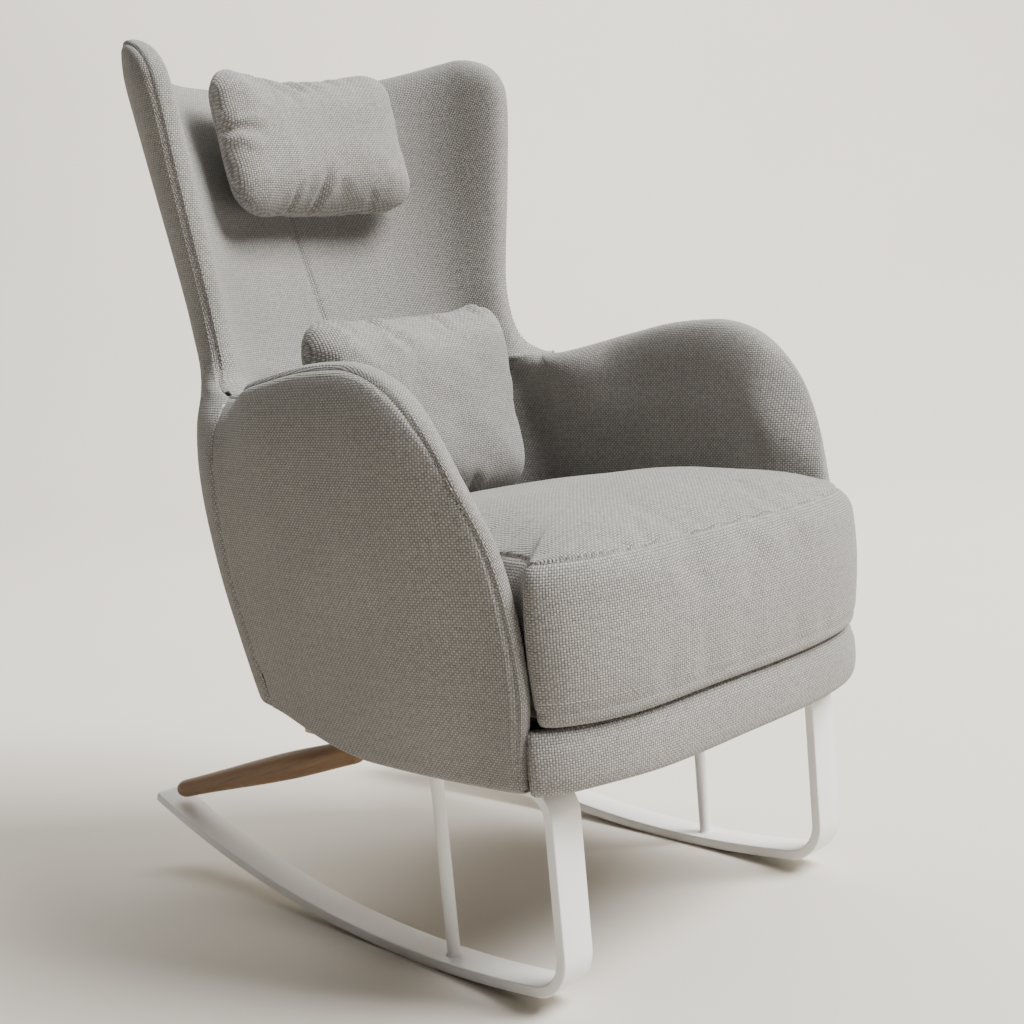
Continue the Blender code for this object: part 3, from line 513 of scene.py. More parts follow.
FABRIC = weave("woven_upholstery", 0.325, 0.030, contrast=1.3)
THREAD = thread()
WHITE = painted()
OAK = timber("oiled_oak", (0.155, 0.080, 0.036, 1), (0.30, 0.175, 0.088, 1))
RAW = timber("raw_frame_wood", (0.50, 0.36, 0.22, 1), (0.70, 0.55, 0.37, 1), 0.6, 0.8,
             (1.0, 0.0, 0.0))
PLY = plywood()
ZINC = zinc()
BLACK = black_cloth("black_platform_cloth", 0.0016, 0.012, 0.040)
TAPE = black_cloth("hook_and_loop_tape", 0.0009, 0.010, 0.050)


# ---------------------------------------------------------------- stitches
STITCH, STITCH_GAP, STITCH_R = 0.0040, 0.0016, 0.00050


def stitches(name, line, normal, body, closed=False, lift=0.0001):
    """A row of short thread capsules lying along a line on a piece's surface."""
    if closed:
        line, normal = np.vstack([line, line[:1]]), np.vstack([normal, normal[:1]])
    else:
        line = line.copy()
        for _ in range(3):              # the row doesn't follow every step from vertex to vertex
            line[1:-1] = (line[:-2] + 2 * line[1:-1] + line[2:]) / 4
    run = lengths(line)
    count = int(run[-1] / (STITCH + STITCH_GAP))
    verts, faces = [], []
    for k in range(count):
        mid = (k + 0.5) * run[-1] / count
        ends = [np.array([np.interp(mid + d, run, line[:, i]) for i in range(3)])
                for d in (-STITCH / 2, STITCH / 2)]
        up = np.array([np.interp(mid, run, normal[:, i]) for i in range(3)])
        ahead = ends[1] - ends[0]
        size = np.linalg.norm(ahead)
        if size < 1e-6:
            continue
        ahead /= size
        up = up - ahead * (up @ ahead)
        up /= np.linalg.norm(up)
        side = np.cross(ahead, up)
        first = len(verts)
        for f, r in ((0.0, 0.25), (0.10, 0.8), (0.5, 1.0), (0.90, 0.8), (1.0, 0.25)):
            centre = ends[0] + ahead * size * f + up * (lift - STITCH_R * (1 - r) * 0.8)
            for q in range(6):
                a = math.pi * q / 3
                verts.append(centre + STITCH_R * r * (math.cos(a) * side + math.sin(a) * up))
        faces += grid_faces(5, 6, first, wrap=True)
        faces += [tuple(range(first + 5, first - 1, -1)), tuple(range(first + 24, first + 30))]
    return make(name, verts, faces, THREAD, body)


def nearest(points, verts):
    tree = KDTree(len(verts))
    for i, v in enumerate(verts):
        tree.insert(v, i)
    tree.balance()
    return [tree.find(p)[1] for p in points]


def steadied(n, verts, mask):
    """Normals with those of the masked seam edges taken from beside them, so that turned-in
    seam allowances don't tilt them."""
    others = np.flatnonzero(~mask)
    n = n.copy()
    n[mask] = n[others[nearest(verts[mask], verts[others])]]
    return n


# ---------------------------------------------------------------- rim profile
_q = np.linspace(0.0, 1.0, 300)


def rounding_length(deep, power):
    """Function for the length over a rim's rounding, from where it starts to share q of it."""
    line = np.stack([RIM * _q + RIM_BULGE * _q**2, deep * (1 - _q**power) ** (1 / power)], 1)
    run = lengths(line)
    return lambda q: np.interp(q, _q, run)


arc_in, arc_out = rounding_length(0.026, POWER_IN), rounding_length(0.023, POWER_OUT)
SEAM_ARC = arc_out(SEAM_Q)


def w_in(q):
    return RIM_MID + (1 - RIM_MID) * (1 - np.clip(q, 0, 1) ** POWER_IN) ** (1 / POWER_IN)


def w_out(q):
    return RIM_MID * (1 - (1 - np.clip(q, 0, 1) ** POWER_OUT) ** (1 / POWER_OUT))


# ---------------------------------------------------------------- surfaces of the shell
side_half_of, arm_thick_of, tuck_of = curve(SIDE_HALF), curve(ARM_THICK), curve(TUCK)
edge_x_of, straight_edge_y, edge_thick_of = curve(EDGE_X), curve(EDGE_Y), curve(EDGE_THICK)


def edge_bend(z):
    """The wing's edge turns forward in a tight bend where it meets the arm's top."""
    up = np.clip((np.asarray(z, float) - DIP_Z) / DIP_TURN, 0.0, 1.0)
    return DIP_TURN * (1 - np.sqrt(1 - (1 - up) ** 2)) * smooth(DIP_Z - 0.06, DIP_Z, z)


def edge_y_of(z):
    return straight_edge_y(z) - edge_bend(z)


back_y_of, inner_y_of = curve(BACK_Y), curve(INNER_Y)
_outline = spline(ARM_FRONT + ARM_TOP[1:], 14)
FRONT_LINE, TOP_LINE = _outline[:14 * 6 + 1], _outline[14 * 6:]


def bezier(p0, p1, p2, p3, t):
    s = 1 - t
    return s**3 * p0 + 3 * s * s * t * p1 + 3 * s * t * t * p2 + t**3 * p3


OUTER_REACH, OUTER_TURN = 0.50, 0.33   # handles of the outside's curve round the back


def back_at(t, z, w):
    """Point in the back, t = 0 at the centre and 1 at the wing's edge; w = 0 outside, 1 inside."""
    xe, ye, thick = edge_x_of(z), straight_edge_y(z), edge_thick_of(z)
    yb, yi = back_y_of(z), inner_y_of(z)
    f = 1 - t
    ox = bezier(xe, xe + 0.002, OUTER_REACH * xe, 0.0, f)
    oy = bezier(ye, ye + OUTER_TURN * (yb - ye), yb, yb, f)
    xi = xe - thick
    ix = bezier(xi, xi, 0.52 * xi, 0.0, f)
    iy = bezier(ye, ye + 0.55 * (yi - ye), yi, yi, f)
    y = oy + (iy - oy) * w - edge_bend(z) * smooth(0.70, 1.0, t) ** 2
    return np.stack([ox + (ix - ox) * w, y, z + 0 * ox], -1)


def top_of(t):
    return 1.008 + 0.025 * smooth(0.25, 0.95, t)


_zs, _ts = np.linspace(0.24, 1.045, 90), np.linspace(1.0, 0.0, 240)
_rows = back_at(_ts[None, :], np.repeat(_zs[:, None], len(_ts), 1), 0.5)
_dist = np.concatenate([np.zeros((len(_zs), 1)),
                        np.cumsum(np.linalg.norm(np.diff(_rows, axis=1), axis=2), axis=1)], 1)
_half = _dist[:, -1]
_ds = np.linspace(0.0, 1.0, 240)
_t_table = np.array([np.interp(_ds * row[-1], row, _ts) for row in _dist])


def half_length(z):
    return np.interp(z, _zs, _half)


def t_at(dist, z):
    """t at a distance in from the wing's edge, at height z."""
    f = np.clip(dist / half_length(z), 0, 1) * (len(_ds) - 1)
    g = np.clip((z - _zs[0]) / (_zs[1] - _zs[0]), 0, len(_zs) - 1.001)
    i, j = g.astype(int), np.minimum(f.astype(int), len(_ds) - 2)
    a, b = g - i, f - j
    return ((1 - a) * ((1 - b) * _t_table[i, j] + b * _t_table[i, j + 1])
            + a * ((1 - b) * _t_table[i + 1, j] + b * _t_table[i + 1, j + 1]))


def back_shape(far_share, low_share, a, b, inner, side, low_z, deeper=0.0):
    """Point on the padded back. far_share and low_share place it between the centre and the
    rim and between the lower edge and the rim; a and b say how far into the rims it is."""
    z = 0.9 + 0 * (far_share + low_share + a + b)
    t = 0.5 + 0 * z
    for _ in range(3):
        height = top_of(t) - low_z
        z = top_of(t) - RIM * (1 - b) - (height - RIM) * low_share
        edge = RIM * (1 - a) + (half_length(z) - RIM) * far_share
        t = t_at(edge, z)
    # where the arm meets the wing, the rounding dies away below the arm's top
    a = np.clip(1 - np.hypot(edge, np.maximum(DIP_Z - z, 0)) / RIM, 0, 1)
    q = np.sqrt(np.minimum(a**2 + b**2, 1.0))
    w = (w_in(q) if inner else w_out(q)) + deeper
    p = back_at(t, z, w)
    p[..., 1] -= RIM_BULGE * q * a * smooth(DIP_Z, DIP_Z + 0.04, z)
    p[..., 2] += RIM_BULGE * q * b
    p[..., 0] *= side
    extra = (arc_in(q) if inner else arc_out(q)) - RIM * q
    u = half_length(z) - edge + extra * a
    return p, np.stack([side * u, z * 1.045 + extra * b], -1), q, z


def seam_free(z):
    """0 where the back's edge is covered by the arm, 1 where it is free."""
    return smooth(0.596, DIP_Z, z)


RIM_QS = np.sin(np.linspace(0.0, math.pi / 2, 9))[1:]
RIM_STEPS = np.cos(np.linspace(0.0, math.acos(SEAM_Q), 6))
STITCH_Q = RIM_STEPS[3]      # rounding share at which the rim's stitches lie
ALLOWANCE_Q = 0.01           # how much further in than the seam its allowance starts
SEAM_TIP = 0.0006            # and the same on the arms, as a length
ON_SEAM = 1e-7               # distance under which a point counts as on the seam
STITCHES_FROM = DIP_Z + 0.012


def rounded_corner(a, b):
    """Square corner of the two rims drawn in to a quarter circle."""
    return a * np.sqrt(1 - b * b / 2), b * np.sqrt(1 - a * a / 2)


def back_grid(n_across, n_up):
    """Shares and rim amounts for the grid's lines, centre to edge and bottom to top."""
    far = np.concatenate([np.linspace(1.0, 0.0, n_across), np.zeros(len(RIM_QS))])
    a = np.concatenate([np.zeros(n_across), RIM_QS])
    low = np.linspace(1.0, 0.0, n_up)
    low = np.concatenate([low, np.linspace(0.545, 0.485, 25)])      # finer by the arm's top
    low = np.concatenate([np.sort(low)[::-1], np.zeros(len(RIM_QS))])
    b = np.concatenate([np.zeros(len(low) - len(RIM_QS)), RIM_QS])
    far, low = np.meshgrid(far, low)
    a, b = np.meshgrid(a, b)
    a, b = rounded_corner(a, b)
    return far, low, a, b


def dent(verts, n, dist, depth=0.0022, width=0.0028):
    return verts - n * (depth * np.exp(-(dist / width) ** 2))[:, None]


def back_pad(name, side):
    far, low, a, b = back_grid(40, 64)
    p, uv, _, _ = back_shape(far, low, a, b, True, side, SEAT_ROW)
    rows, cols = far.shape
    verts, cloth = [p.reshape(-1, 3)], [uv.reshape(-1, 2)]
    seam_dist, thick = [np.full(rows * cols, 1.0)], [np.full(rows * cols, FABRIC_T)]
    centre = np.abs(p[..., 0]).reshape(-1)
    faces = grid_faces(rows, cols)
    # the border ring: up the wing's edge, then back along the top
    path = [(j, cols - 1) for j in range(rows)] + [(rows - 1, k) for k in range(cols - 2, -1, -1)]
    jj, kk = np.array(path).T
    bf, bl, ba, bb = far[jj, kk], low[jj, kk], a[jj, kk], b[jj, kk]
    first = rows * cols
    _, _, _, zz = back_shape(bf, bl, ba, bb, False, side, SEAT_ROW)
    free = seam_free(zz)
    on_edge = (ba > 0) & (bb == 0)
    size = np.maximum(np.hypot(ba, bb), 1e-6)
    for c, deeper in [(c, 0.0) for c in RIM_STEPS] + [(SEAM_Q + ALLOWANCE_Q, FLANGE)]:
        scale = np.where(on_edge, 1 - (1 - c) * free, c)
        tucked = np.where(on_edge, 0.45 * (1 - smooth(DIP_Z - 0.012, DIP_Z, zz)), 0.0)
        rp, ruv, rq, _ = back_shape(bf, bl, ba * scale, bb * scale, False, side, SEAT_ROW,
                                    deeper + tucked)
        # unrolled beyond the tip of the rim
        over = (arc_in(1.0) + arc_out(1.0) - 2 * arc_out(rq)) * np.where(on_edge, free, 1.0)
        ruv = ruv + np.stack([side * over * ba / size, over * bb / size], -1)
        verts.append(rp)
        cloth.append(ruv)
        seam_dist.append(np.abs(arc_out(rq) - SEAM_ARC))
        thick.append(np.full(len(path), FLANGE_T if deeper else 2 * FLANGE_T))
    count = len(path)
    for i in range(count - 1):
        m0 = jj[i] * cols + kk[i]
        m1 = jj[i + 1] * cols + kk[i + 1]
        faces.append((m1, m0, first + i, first + i + 1))
    faces += [f[::-1] for f in grid_faces(len(RIM_STEPS) + 1, count, first)]
    verts, cloth = np.vstack(verts), np.vstack(cloth)
    seam_dist, thick = np.concatenate(seam_dist), np.concatenate(thick)
    centre = np.concatenate([centre, np.abs(verts[first:, 0])])
    verts, faces, (cloth, seam_dist, centre, thick) = weld(
        verts, faces, [cloth, seam_dist, centre, thick])
    n = facing(verts, faces, FORWARD)
    n = steadied(n, verts, (thick == FLANGE_T) | (seam_dist < ON_SEAM))
    verts = dent(verts, n, seam_dist)
    verts = dent(verts, n, centre, 0.0035, 0.0045)
    rim = back_shape(bf, bl, ba * STITCH_Q, bb * STITCH_Q, False, side, SEAT_ROW)[0]
    pick = nearest(rim[rim[:, 2] > STITCHES_FROM], verts)
    stitches(f"{name}_rim_stitches", verts[pick], n[pick], "chair")
    middle = np.array([(side * 0.0042, *back_at(0.0, z, 1.0)[1:])
                       for z in np.linspace(0.47, 0.985, 60)])
    pick = nearest(middle, verts)
    stitches(f"{name}_centre_stitches", verts[pick], n[pick], "chair")
    calm = smooth(0.0, 0.03, seam_dist) * smooth(0.0, 0.03, centre)
    calm *= 1 - (1 - smooth(0.60, 0.68, verts[:, 2])) * smooth(0.15, 0.19, np.abs(verts[:, 0]))
    verts = verts + n * (0.0011 * value_noise(verts, 0.16, 5) * calm)[:, None]
    verts, faces, cloth = skin(verts, faces, cloth, thick, np.array((0.0, -1.0, 0.0)))
    return make(name, verts, faces, FABRIC, "chair", cloth)


def border_thickness(rows, cols, first_col):
    """Thickness for a sheet's grid of points, thinning towards its top row and outer columns."""
    i, j = np.mgrid[0:rows, 0:cols]
    steps = np.minimum(rows - 1 - i, cols - 1 - j)
    if first_col:
        steps = np.minimum(steps, j)
    return (FLANGE_T + (FABRIC_T - FLANGE_T) * smooth(0, 9, steps)).reshape(-1)


def seam_edges(rows, cols, first_col):
    """Which points of a sheet's grid are on its seam edges or turned-in allowances."""
    mask = np.zeros((rows, cols), bool)
    mask[-2:] = mask[:, -2:] = True
    if first_col:
        mask[:, :2] = True
    return mask.reshape(-1)


def outer_back():
    far, low, a, b = back_grid(40, 70)
    halves = []
    for side in (-1.0, 1.0):
        _, _, _, z = back_shape(far, low, a, b, False, side, LOW_Z)
        free = seam_free(z)
        corner = (a > 0) & (b > 0)
        scale_a = np.where(corner, SEAM_Q, 1 - (1 - SEAM_Q) * free)
        p, uv, q, _ = back_shape(far, low, a * scale_a, b * SEAM_Q, False, side, LOW_Z)
        # seam allowance along the wing's edge, then along the top
        tuck, tuck_uv, tuck_q, _ = back_shape(far[:, -1:], low[:, -1:], (a * scale_a)[:, -1:]
                                              - ALLOWANCE_Q * free[:, -1:],
                                              b[:, -1:] * SEAM_Q, False,
                                              side, LOW_Z, FLANGE * free[:, -1:])
        p, uv, q = (np.concatenate(pair, 1) for pair in ((p, tuck), (uv, tuck_uv), (q, tuck_q)))
        wide = [np.concatenate([g, g[:, -1:]], 1) for g in (far, low, a * scale_a, b * SEAM_Q)]
        tuck, tuck_uv, tuck_q, _ = back_shape(*[g[-1:] for g in wide[:3]],
                                              wide[3][-1:] - ALLOWANCE_Q,
                                              False, side, LOW_Z, FLANGE)
        p, uv, q = (np.concatenate(pair, 0) for pair in ((p, tuck), (uv, tuck_uv), (q, tuck_q)))
        halves.append((p, uv, q))
    p = np.concatenate([halves[0][0][:, ::-1], halves[1][0][:, 1:]], 1)
    uv = np.concatenate([halves[0][1][:, ::-1], halves[1][1][:, 1:]], 1)
    q = np.concatenate([halves[0][2][:, ::-1], halves[1][2][:, 1:]], 1)
    seam = np.abs(SEAM_ARC - arc_out(q))
    # the lower edge turns under, and in towards the seat frame
    under, under_uv = [], []
    low_row = p[0]
    inward = np.stack([-low_row[:, 0], -(low_row[:, 1] - 0.10), 0 * low_row[:, 0]], -1)
    inward /= np.linalg.norm(inward, axis=1)[:, None]
    for d, dz in ((0.034, -0.0075), (0.022, -0.0085), (0.013, -0.008), (0.006, -0.006),
                  (0.0018, -0.003)):
        under.append(low_row + inward * d + np.array((0, 0, dz)))
        under_uv.append(uv[0] - np.array((0, d + abs(dz))))
    p = np.concatenate([np.array(under), p], 0)
    uv = np.concatenate([np.array(under_uv), uv], 0)
    seam = np.concatenate([np.full((len(under), seam.shape[1]), 1.0), seam], 0)
    side_seam = np.linalg.norm(p - p[:, :1], axis=2)
    side_seam = np.minimum(side_seam, np.linalg.norm(p - p[:, -1:], axis=2))
    seam = np.where(p[..., 2] < 0.62, np.minimum(seam, side_seam), seam)
    rows, cols = seam.shape
    verts, cloth = p.reshape(-1, 3), uv.reshape(-1, 2)
    faces = grid_faces(rows, cols)
    n = facing(verts, faces, -FORWARD)
    n = steadied(n, verts, seam_edges(rows, cols, True))
    verts = dent(verts, n, seam.reshape(-1))
    index = np.arange(rows * cols).reshape(rows, cols)
    up_to = int(np.argmax(p[:, 0, 2] > STITCHES_FROM))
    line = np.concatenate([index[up_to:-4, 3], index[-4, 3:-3], index[-4:up_to:-1, -4]])
    stitches("outer_back_rim_stitches", verts[line], n[line], "chair")
    verts = verts + n * (0.0010 * value_noise(verts, 0.2, 9)
                         * smooth(0.0, 0.03, seam.reshape(-1)))[:, None]
    verts, faces, cloth = skin(verts, faces, cloth, border_thickness(rows, cols, 1),
                               np.array((0.0, 1.0, 0.0)))
    return make("outer_back_cover", verts, faces, FABRIC, "chair", cloth)


# ---------------------------------------------------------------- arms
def bottom_z(y):
    return 0.2450 + 0.036 * smooth(-0.02, 0.20, y)


def front_tuck(y):
    return smooth(0.05, 0.245, -y) ** 2


def side_half(y, z):
    return side_half_of(z) - tuck_of(z) * front_tuck(y) - 0.013 * smooth(0.0, 0.175, y) ** 2


LOW_V, LOW_F = 0.2, 0.226    # share of the arm's rows below the seat, and of its front outline


def arm_yz(s, v):
    """Side outline of the arm: s from the rear seam to the front edge, v from bottom to top."""
    low = v < LOW_V
    # below the seat
    front_a = along(FRONT_LINE, LOW_F * np.minimum(v, LOW_V) / LOW_V)
    y_rear = edge_y_of(0.281)
    ya = y_rear + (front_a[..., 0] - y_rear) * s
    za = bottom_z(ya) + (SEAT_ROW - bottom_z(ya)) * v / LOW_V
    # above it, a patch between the four edges
    r = np.clip((v - LOW_V) / (1 - LOW_V), 0, 1)
    front = along(FRONT_LINE, LOW_F + (1 - LOW_F) * r)
    z_rear = SEAT_ROW + (DIP_Z - SEAT_ROW) * r
    rear = np.stack([edge_y_of(z_rear), z_rear], -1)
    top = along(TOP_LINE[::-1], s)
    y0 = edge_y_of(SEAT_ROW)
    y1 = along(FRONT_LINE, np.array([LOW_F]))[0, 0]
    floor = np.stack([y0 + (y1 - y0) * s, SEAT_ROW + 0 * s], -1)
    c00, c10 = np.array((y0, SEAT_ROW)), np.array((y1, SEAT_ROW))
    c01, c11 = TOP_LINE[-1], TOP_LINE[0]
    s_, r_ = s[..., None], r[..., None]
    yz = ((1 - r_) * floor + r_ * top + (1 - s_) * rear + s_ * front
          - ((1 - s_) * (1 - r_) * c00 + s_ * (1 - r_) * c10
             + (1 - s_) * r_ * c01 + s_ * r_ * c11))
    return np.where(low[..., None], np.stack([ya, za], -1), yz)


def arm_x(y, z, s, v, w):
    near_rear = 1 - smooth(0.0, 0.22, s)
    x_out = side_half(y, z) + (edge_x_of(z) - side_half(edge_y_of(z), z)) * near_rear
    thick = arm_thick_of(z) + (edge_thick_of(z) - arm_thick_of(z)) * near_rear
    thick = thick * (1 - 0.42 * smooth(0.72, 1.0, s)
                     - 0.20 * smooth(0.75, 1.0, v) * (1 - near_rear))
    thick = thick - 0.007 * front_tuck(y)
    return x_out - thick * w


def to_outline(yz):
    """Distance to the arm's free outline and the outward direction there."""
    line = _outline
    a, b = line[:-1], line[1:]
    seg = b - a
    size = (seg**2).sum(1)
    flat = yz.reshape(-1, 2)
    f = np.clip(((flat[:, None] - a[None]) * seg[None]).sum(2) / size[None], 0, 1)
    near = a[None] + f[..., None] * seg[None]
    d = np.linalg.norm(flat[:, None] - near, axis=2)
    k = d.argmin(1)
    pick = np.arange(len(flat))
    tangent = np.gradient(line, axis=0)
    tangent /= np.linalg.norm(tangent, axis=1)[:, None]
    share = f[pick, k][:, None]
    tan = tangent[k] * (1 - share) + tangent[k + 1] * share
    out = np.stack([-tan[:, 1], tan[:, 0]], -1)
    out /= np.linalg.norm(out, axis=1)[:, None]
    return d[pick, k].reshape(yz.shape[:-1]), out.reshape(yz.shape)


def bulge_at(s, v):
    return RIM_BULGE * smooth(0.0, 0.25, s) * smooth(0.05, 0.3, v)


def arm_lines():
    fine = (np.linspace(0.0, 1.0, 13) ** 1.5)[1:] * 0.10
    s = np.concatenate([np.linspace(0.0, 0.90, 46), 1.0 - fine[::-1][1:], [1.0]])
    v = np.concatenate([np.linspace(0.0, 0.90, 42), 1.0 - fine[::-1][1:], [1.0]])
    return s, v


def arm_shape(yz, s, v, q, inner, deeper=0.0):
    w = (w_in(q) if inner else w_out(q)) + deeper
    if inner:
        w = np.minimum(w, 0.5 + 0.5 * smooth(0.155, 0.19, v))
    x = arm_x(yz[..., 0], yz[..., 1], s, v, w)
    return np.concatenate([x[..., None], yz], -1)


def arm_pad(name, side):
    s, v = arm_lines()
    s = np.concatenate([[-0.018], s])
    s, v = np.meshgrid(s, v)
    yz = arm_yz(np.maximum(s, 0.0), v)
    yz[..., 0] += np.where(s < 0, 0.008, 0.0)
    d, out = to_outline(yz)
    q = np.where(d < 2e-4, 1.0, np.clip(1 - d / RIM, 0, 1))
    flat = yz + out * (bulge_at(s, v) * q**2)[..., None]
    p = arm_shape(flat, np.maximum(s, 0), v, q, True)
    p[..., 0] += np.where(s < 0, 0.003, 0.0)      # its rear end dips under the back's padding
    uv = yz + out * (arc_in(q) - RIM * q)[..., None]
    rows, cols = s.shape
    verts, cloth, seam = [p.reshape(-1, 3)], [uv.reshape(-1, 2)], [np.full(rows * cols, 1.0)]
    thick = [np.full(rows * cols, FABRIC_T)]
    faces = grid_faces(rows, cols)
    path = [(j, cols - 1) for j in range(rows)] + [(rows - 1, k) for k in range(cols - 2, -1, -1)]
    jj, kk = np.array(path).T
    edge, edge_out, es, ev = yz[jj, kk], out[jj, kk], np.maximum(s[jj, kk], 0), v[jj, kk]
    first = rows * cols
    for c, deeper in [(c, 0.0) for c in RIM_STEPS] + [(SEAM_Q + ALLOWANCE_Q, FLANGE)]:
        rq = np.full(len(path), c)
        pos = edge - edge_out * (RIM * (1 - rq))[:, None]
        verts.append(arm_shape(pos + edge_out * (bulge_at(es, ev) * rq**2)[:, None], es, ev, rq,
                               False, deeper))
        over = arc_in(1.0) + arc_out(1.0) - arc_out(rq) - RIM
        cloth.append(edge + edge_out * over[:, None])
        seam.append(np.abs(arc_out(rq) - SEAM_ARC))
        thick.append(np.full(len(path), FLANGE_T if deeper else 2 * FLANGE_T))
    faces += [(jj[i + 1] * cols + kk[i + 1], jj[i] * cols + kk[i], first + i, first + i + 1)
              for i in range(len(path) - 1)]
    faces += [f[::-1] for f in grid_faces(len(RIM_STEPS) + 1, len(path), first)]
    verts, cloth, seam = np.vstack(verts), np.vstack(cloth), np.concatenate(seam)
    verts, faces, (cloth, seam, thick) = weld(verts, faces, [cloth, seam,
                                                             np.concatenate(thick)])
    verts[:, 0] *= side
    n = facing(verts, faces, np.array((-side, 0.0, 0.0)))
    n = steadied(n, verts, (thick == FLANGE_T) | (seam < ON_SEAM))
    verts = dent(verts, n, seam)
    pos = edge - edge_out * (RIM * (1 - STITCH_Q))
    line = arm_shape(pos + edge_out * (bulge_at(es, ev) * STITCH_Q**2)[:, None], es, ev,
                     np.full(len(path), STITCH_Q), False) * np.array((side, 1, 1))
    pick = nearest(line[3:-3], verts)
    stitches(f"{name}_rim_stitches", verts[pick], n[pick], "chair")
    calm = smooth(0.0, 0.03, seam) * smooth(0.0, 0.06, edge_y_of(verts[:, 2]) - verts[:, 1])
    verts = verts + n * (0.0012 * value_noise(verts, 0.17, 21 if side > 0 else 22)
                         * calm)[:, None]
    verts, faces, cloth = skin(verts, faces, cloth, thick, np.array((-side, 0.0, 0.0)))
    return make(name, verts, faces, FABRIC, "chair", cloth)


def side_panel(name, side):
    s, v = arm_lines()
    s, v = np.meshgrid(s, v)
    yz = arm_yz(s, v)
    d, out = to_outline(yz)
    q = np.clip(1 - d / RIM, 0, 1) * SEAM_Q
    yz = yz - out * (RIM * (1 - q) - np.minimum(d, RIM))[..., None] * (d < RIM)[..., None]
    flat = yz + out * (bulge_at(s, v) * q**2)[..., None]
    p = arm_shape(flat, s, v, q, False)
    uv = yz + out * (arc_out(q) - RIM * q)[..., None]
    seam = np.abs(SEAM_ARC - arc_out(q))
    rear = np.linalg.norm(p - p[:, :1], axis=2)
    seam = np.minimum(seam, rear)
    # seam allowance down the front edge, then along the top
    front_in = flat[:, -1:] - SEAM_TIP * out[:, -1:]
    tuck = arm_shape(front_in, s[:, -1:], v[:, -1:], q[:, -1:], False, FLANGE)
    p, uv, seam = (np.concatenate([g, more], 1) for g, more in
                   ((p, tuck), (uv, uv[:, -1:] + 0.006 * out[:, -1:]), (seam, seam[:, -1:])))
    flat, out, s, v, q = (np.concatenate([g, g[:, -1:]], 1) for g in (flat, out, s, v, q))
    tuck = arm_shape(flat[-1:] - SEAM_TIP * out[-1:], s[-1:], v[-1:], q[-1:], False, FLANGE)
    p, uv, seam = (np.concatenate([g, more], 0) for g, more in
                   ((p, tuck), (uv, uv[-1:] + 0.006 * out[-1:]), (seam, seam[-1:])))
    # turned under along the bottom
    under, under_uv = [], []
    for dx, dz in ((0.036, -0.0075), (0.024, -0.0085), (0.014, -0.008), (0.006, -0.006),
                   (0.0018, -0.003)):
        back_off = np.stack([np.full(p.shape[1], -dx), 0.35 * dx * smooth(0.9, 1.0, s[0]),
                             np.full(p.shape[1], dz)], -1)
        under.append(p[0] + back_off)
        under_uv.append(uv[0] - np.array((0, dx + abs(dz))))
    p = np.concatenate([np.array(under), p], 0)
    uv = np.concatenate([np.array(under_uv), uv], 0)
    seam = np.concatenate([np.full((len(under), seam.shape[1]), 1.0), seam], 0)
    rows, cols = seam.shape
    verts, cloth, seam = p.reshape(-1, 3), uv.reshape(-1, 2), seam.reshape(-1)
    verts = verts * np.array((side, 1, 1))
    faces = grid_faces(rows, cols)
    n = facing(verts, faces, np.array((side, 0.0, 0.0)))
    n = steadied(n, verts, seam_edges(rows, cols, False))
    verts = dent(verts, n, seam)
    index = np.arange(rows * cols).reshape(rows, cols)
    line = np.concatenate([index[7:-5, -5], index[-5, -5:3:-1]])
    stitches(f"{name}_rim_stitches", verts[line], n[line], "chair")
    verts = verts + n * (0.0013 * value_noise(verts, 0.19, 31 if side > 0 else 32)
                         * smooth(0.0, 0.03, seam))[:, None]
    verts, faces, cloth = skin(verts, faces, cloth, border_thickness(rows, cols, 0),
                               np.array((side, 0.0, 0.0)))
    return make(name, verts, faces, FABRIC, "chair", cloth)


shell = []
for label, side in (("left", -1.0), ("right", 1.0)):
    pad = back_pad(f"{label}_back_padding", side)
    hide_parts(f"{label}_back_pad")
    arm = arm_pad(f"{label}_arm_padding", side)
    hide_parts(f"{label}_arm_pad")
    panel = side_panel(f"{label}_side_cover", side)
    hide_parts(f"{label}_side_panel")
    shell += [pad, arm, panel]
outer = outer_back()
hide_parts("outer_back_panel")
shell.append(outer)
for obj in shell:
    sharpen(obj, 58)


# ---------------------------------------------------------------- front rail pad
def mirrored(half):
    half = [tuple(p) for p in half]
    return [(-x, y) for x, y in half[:0:-1]] + half


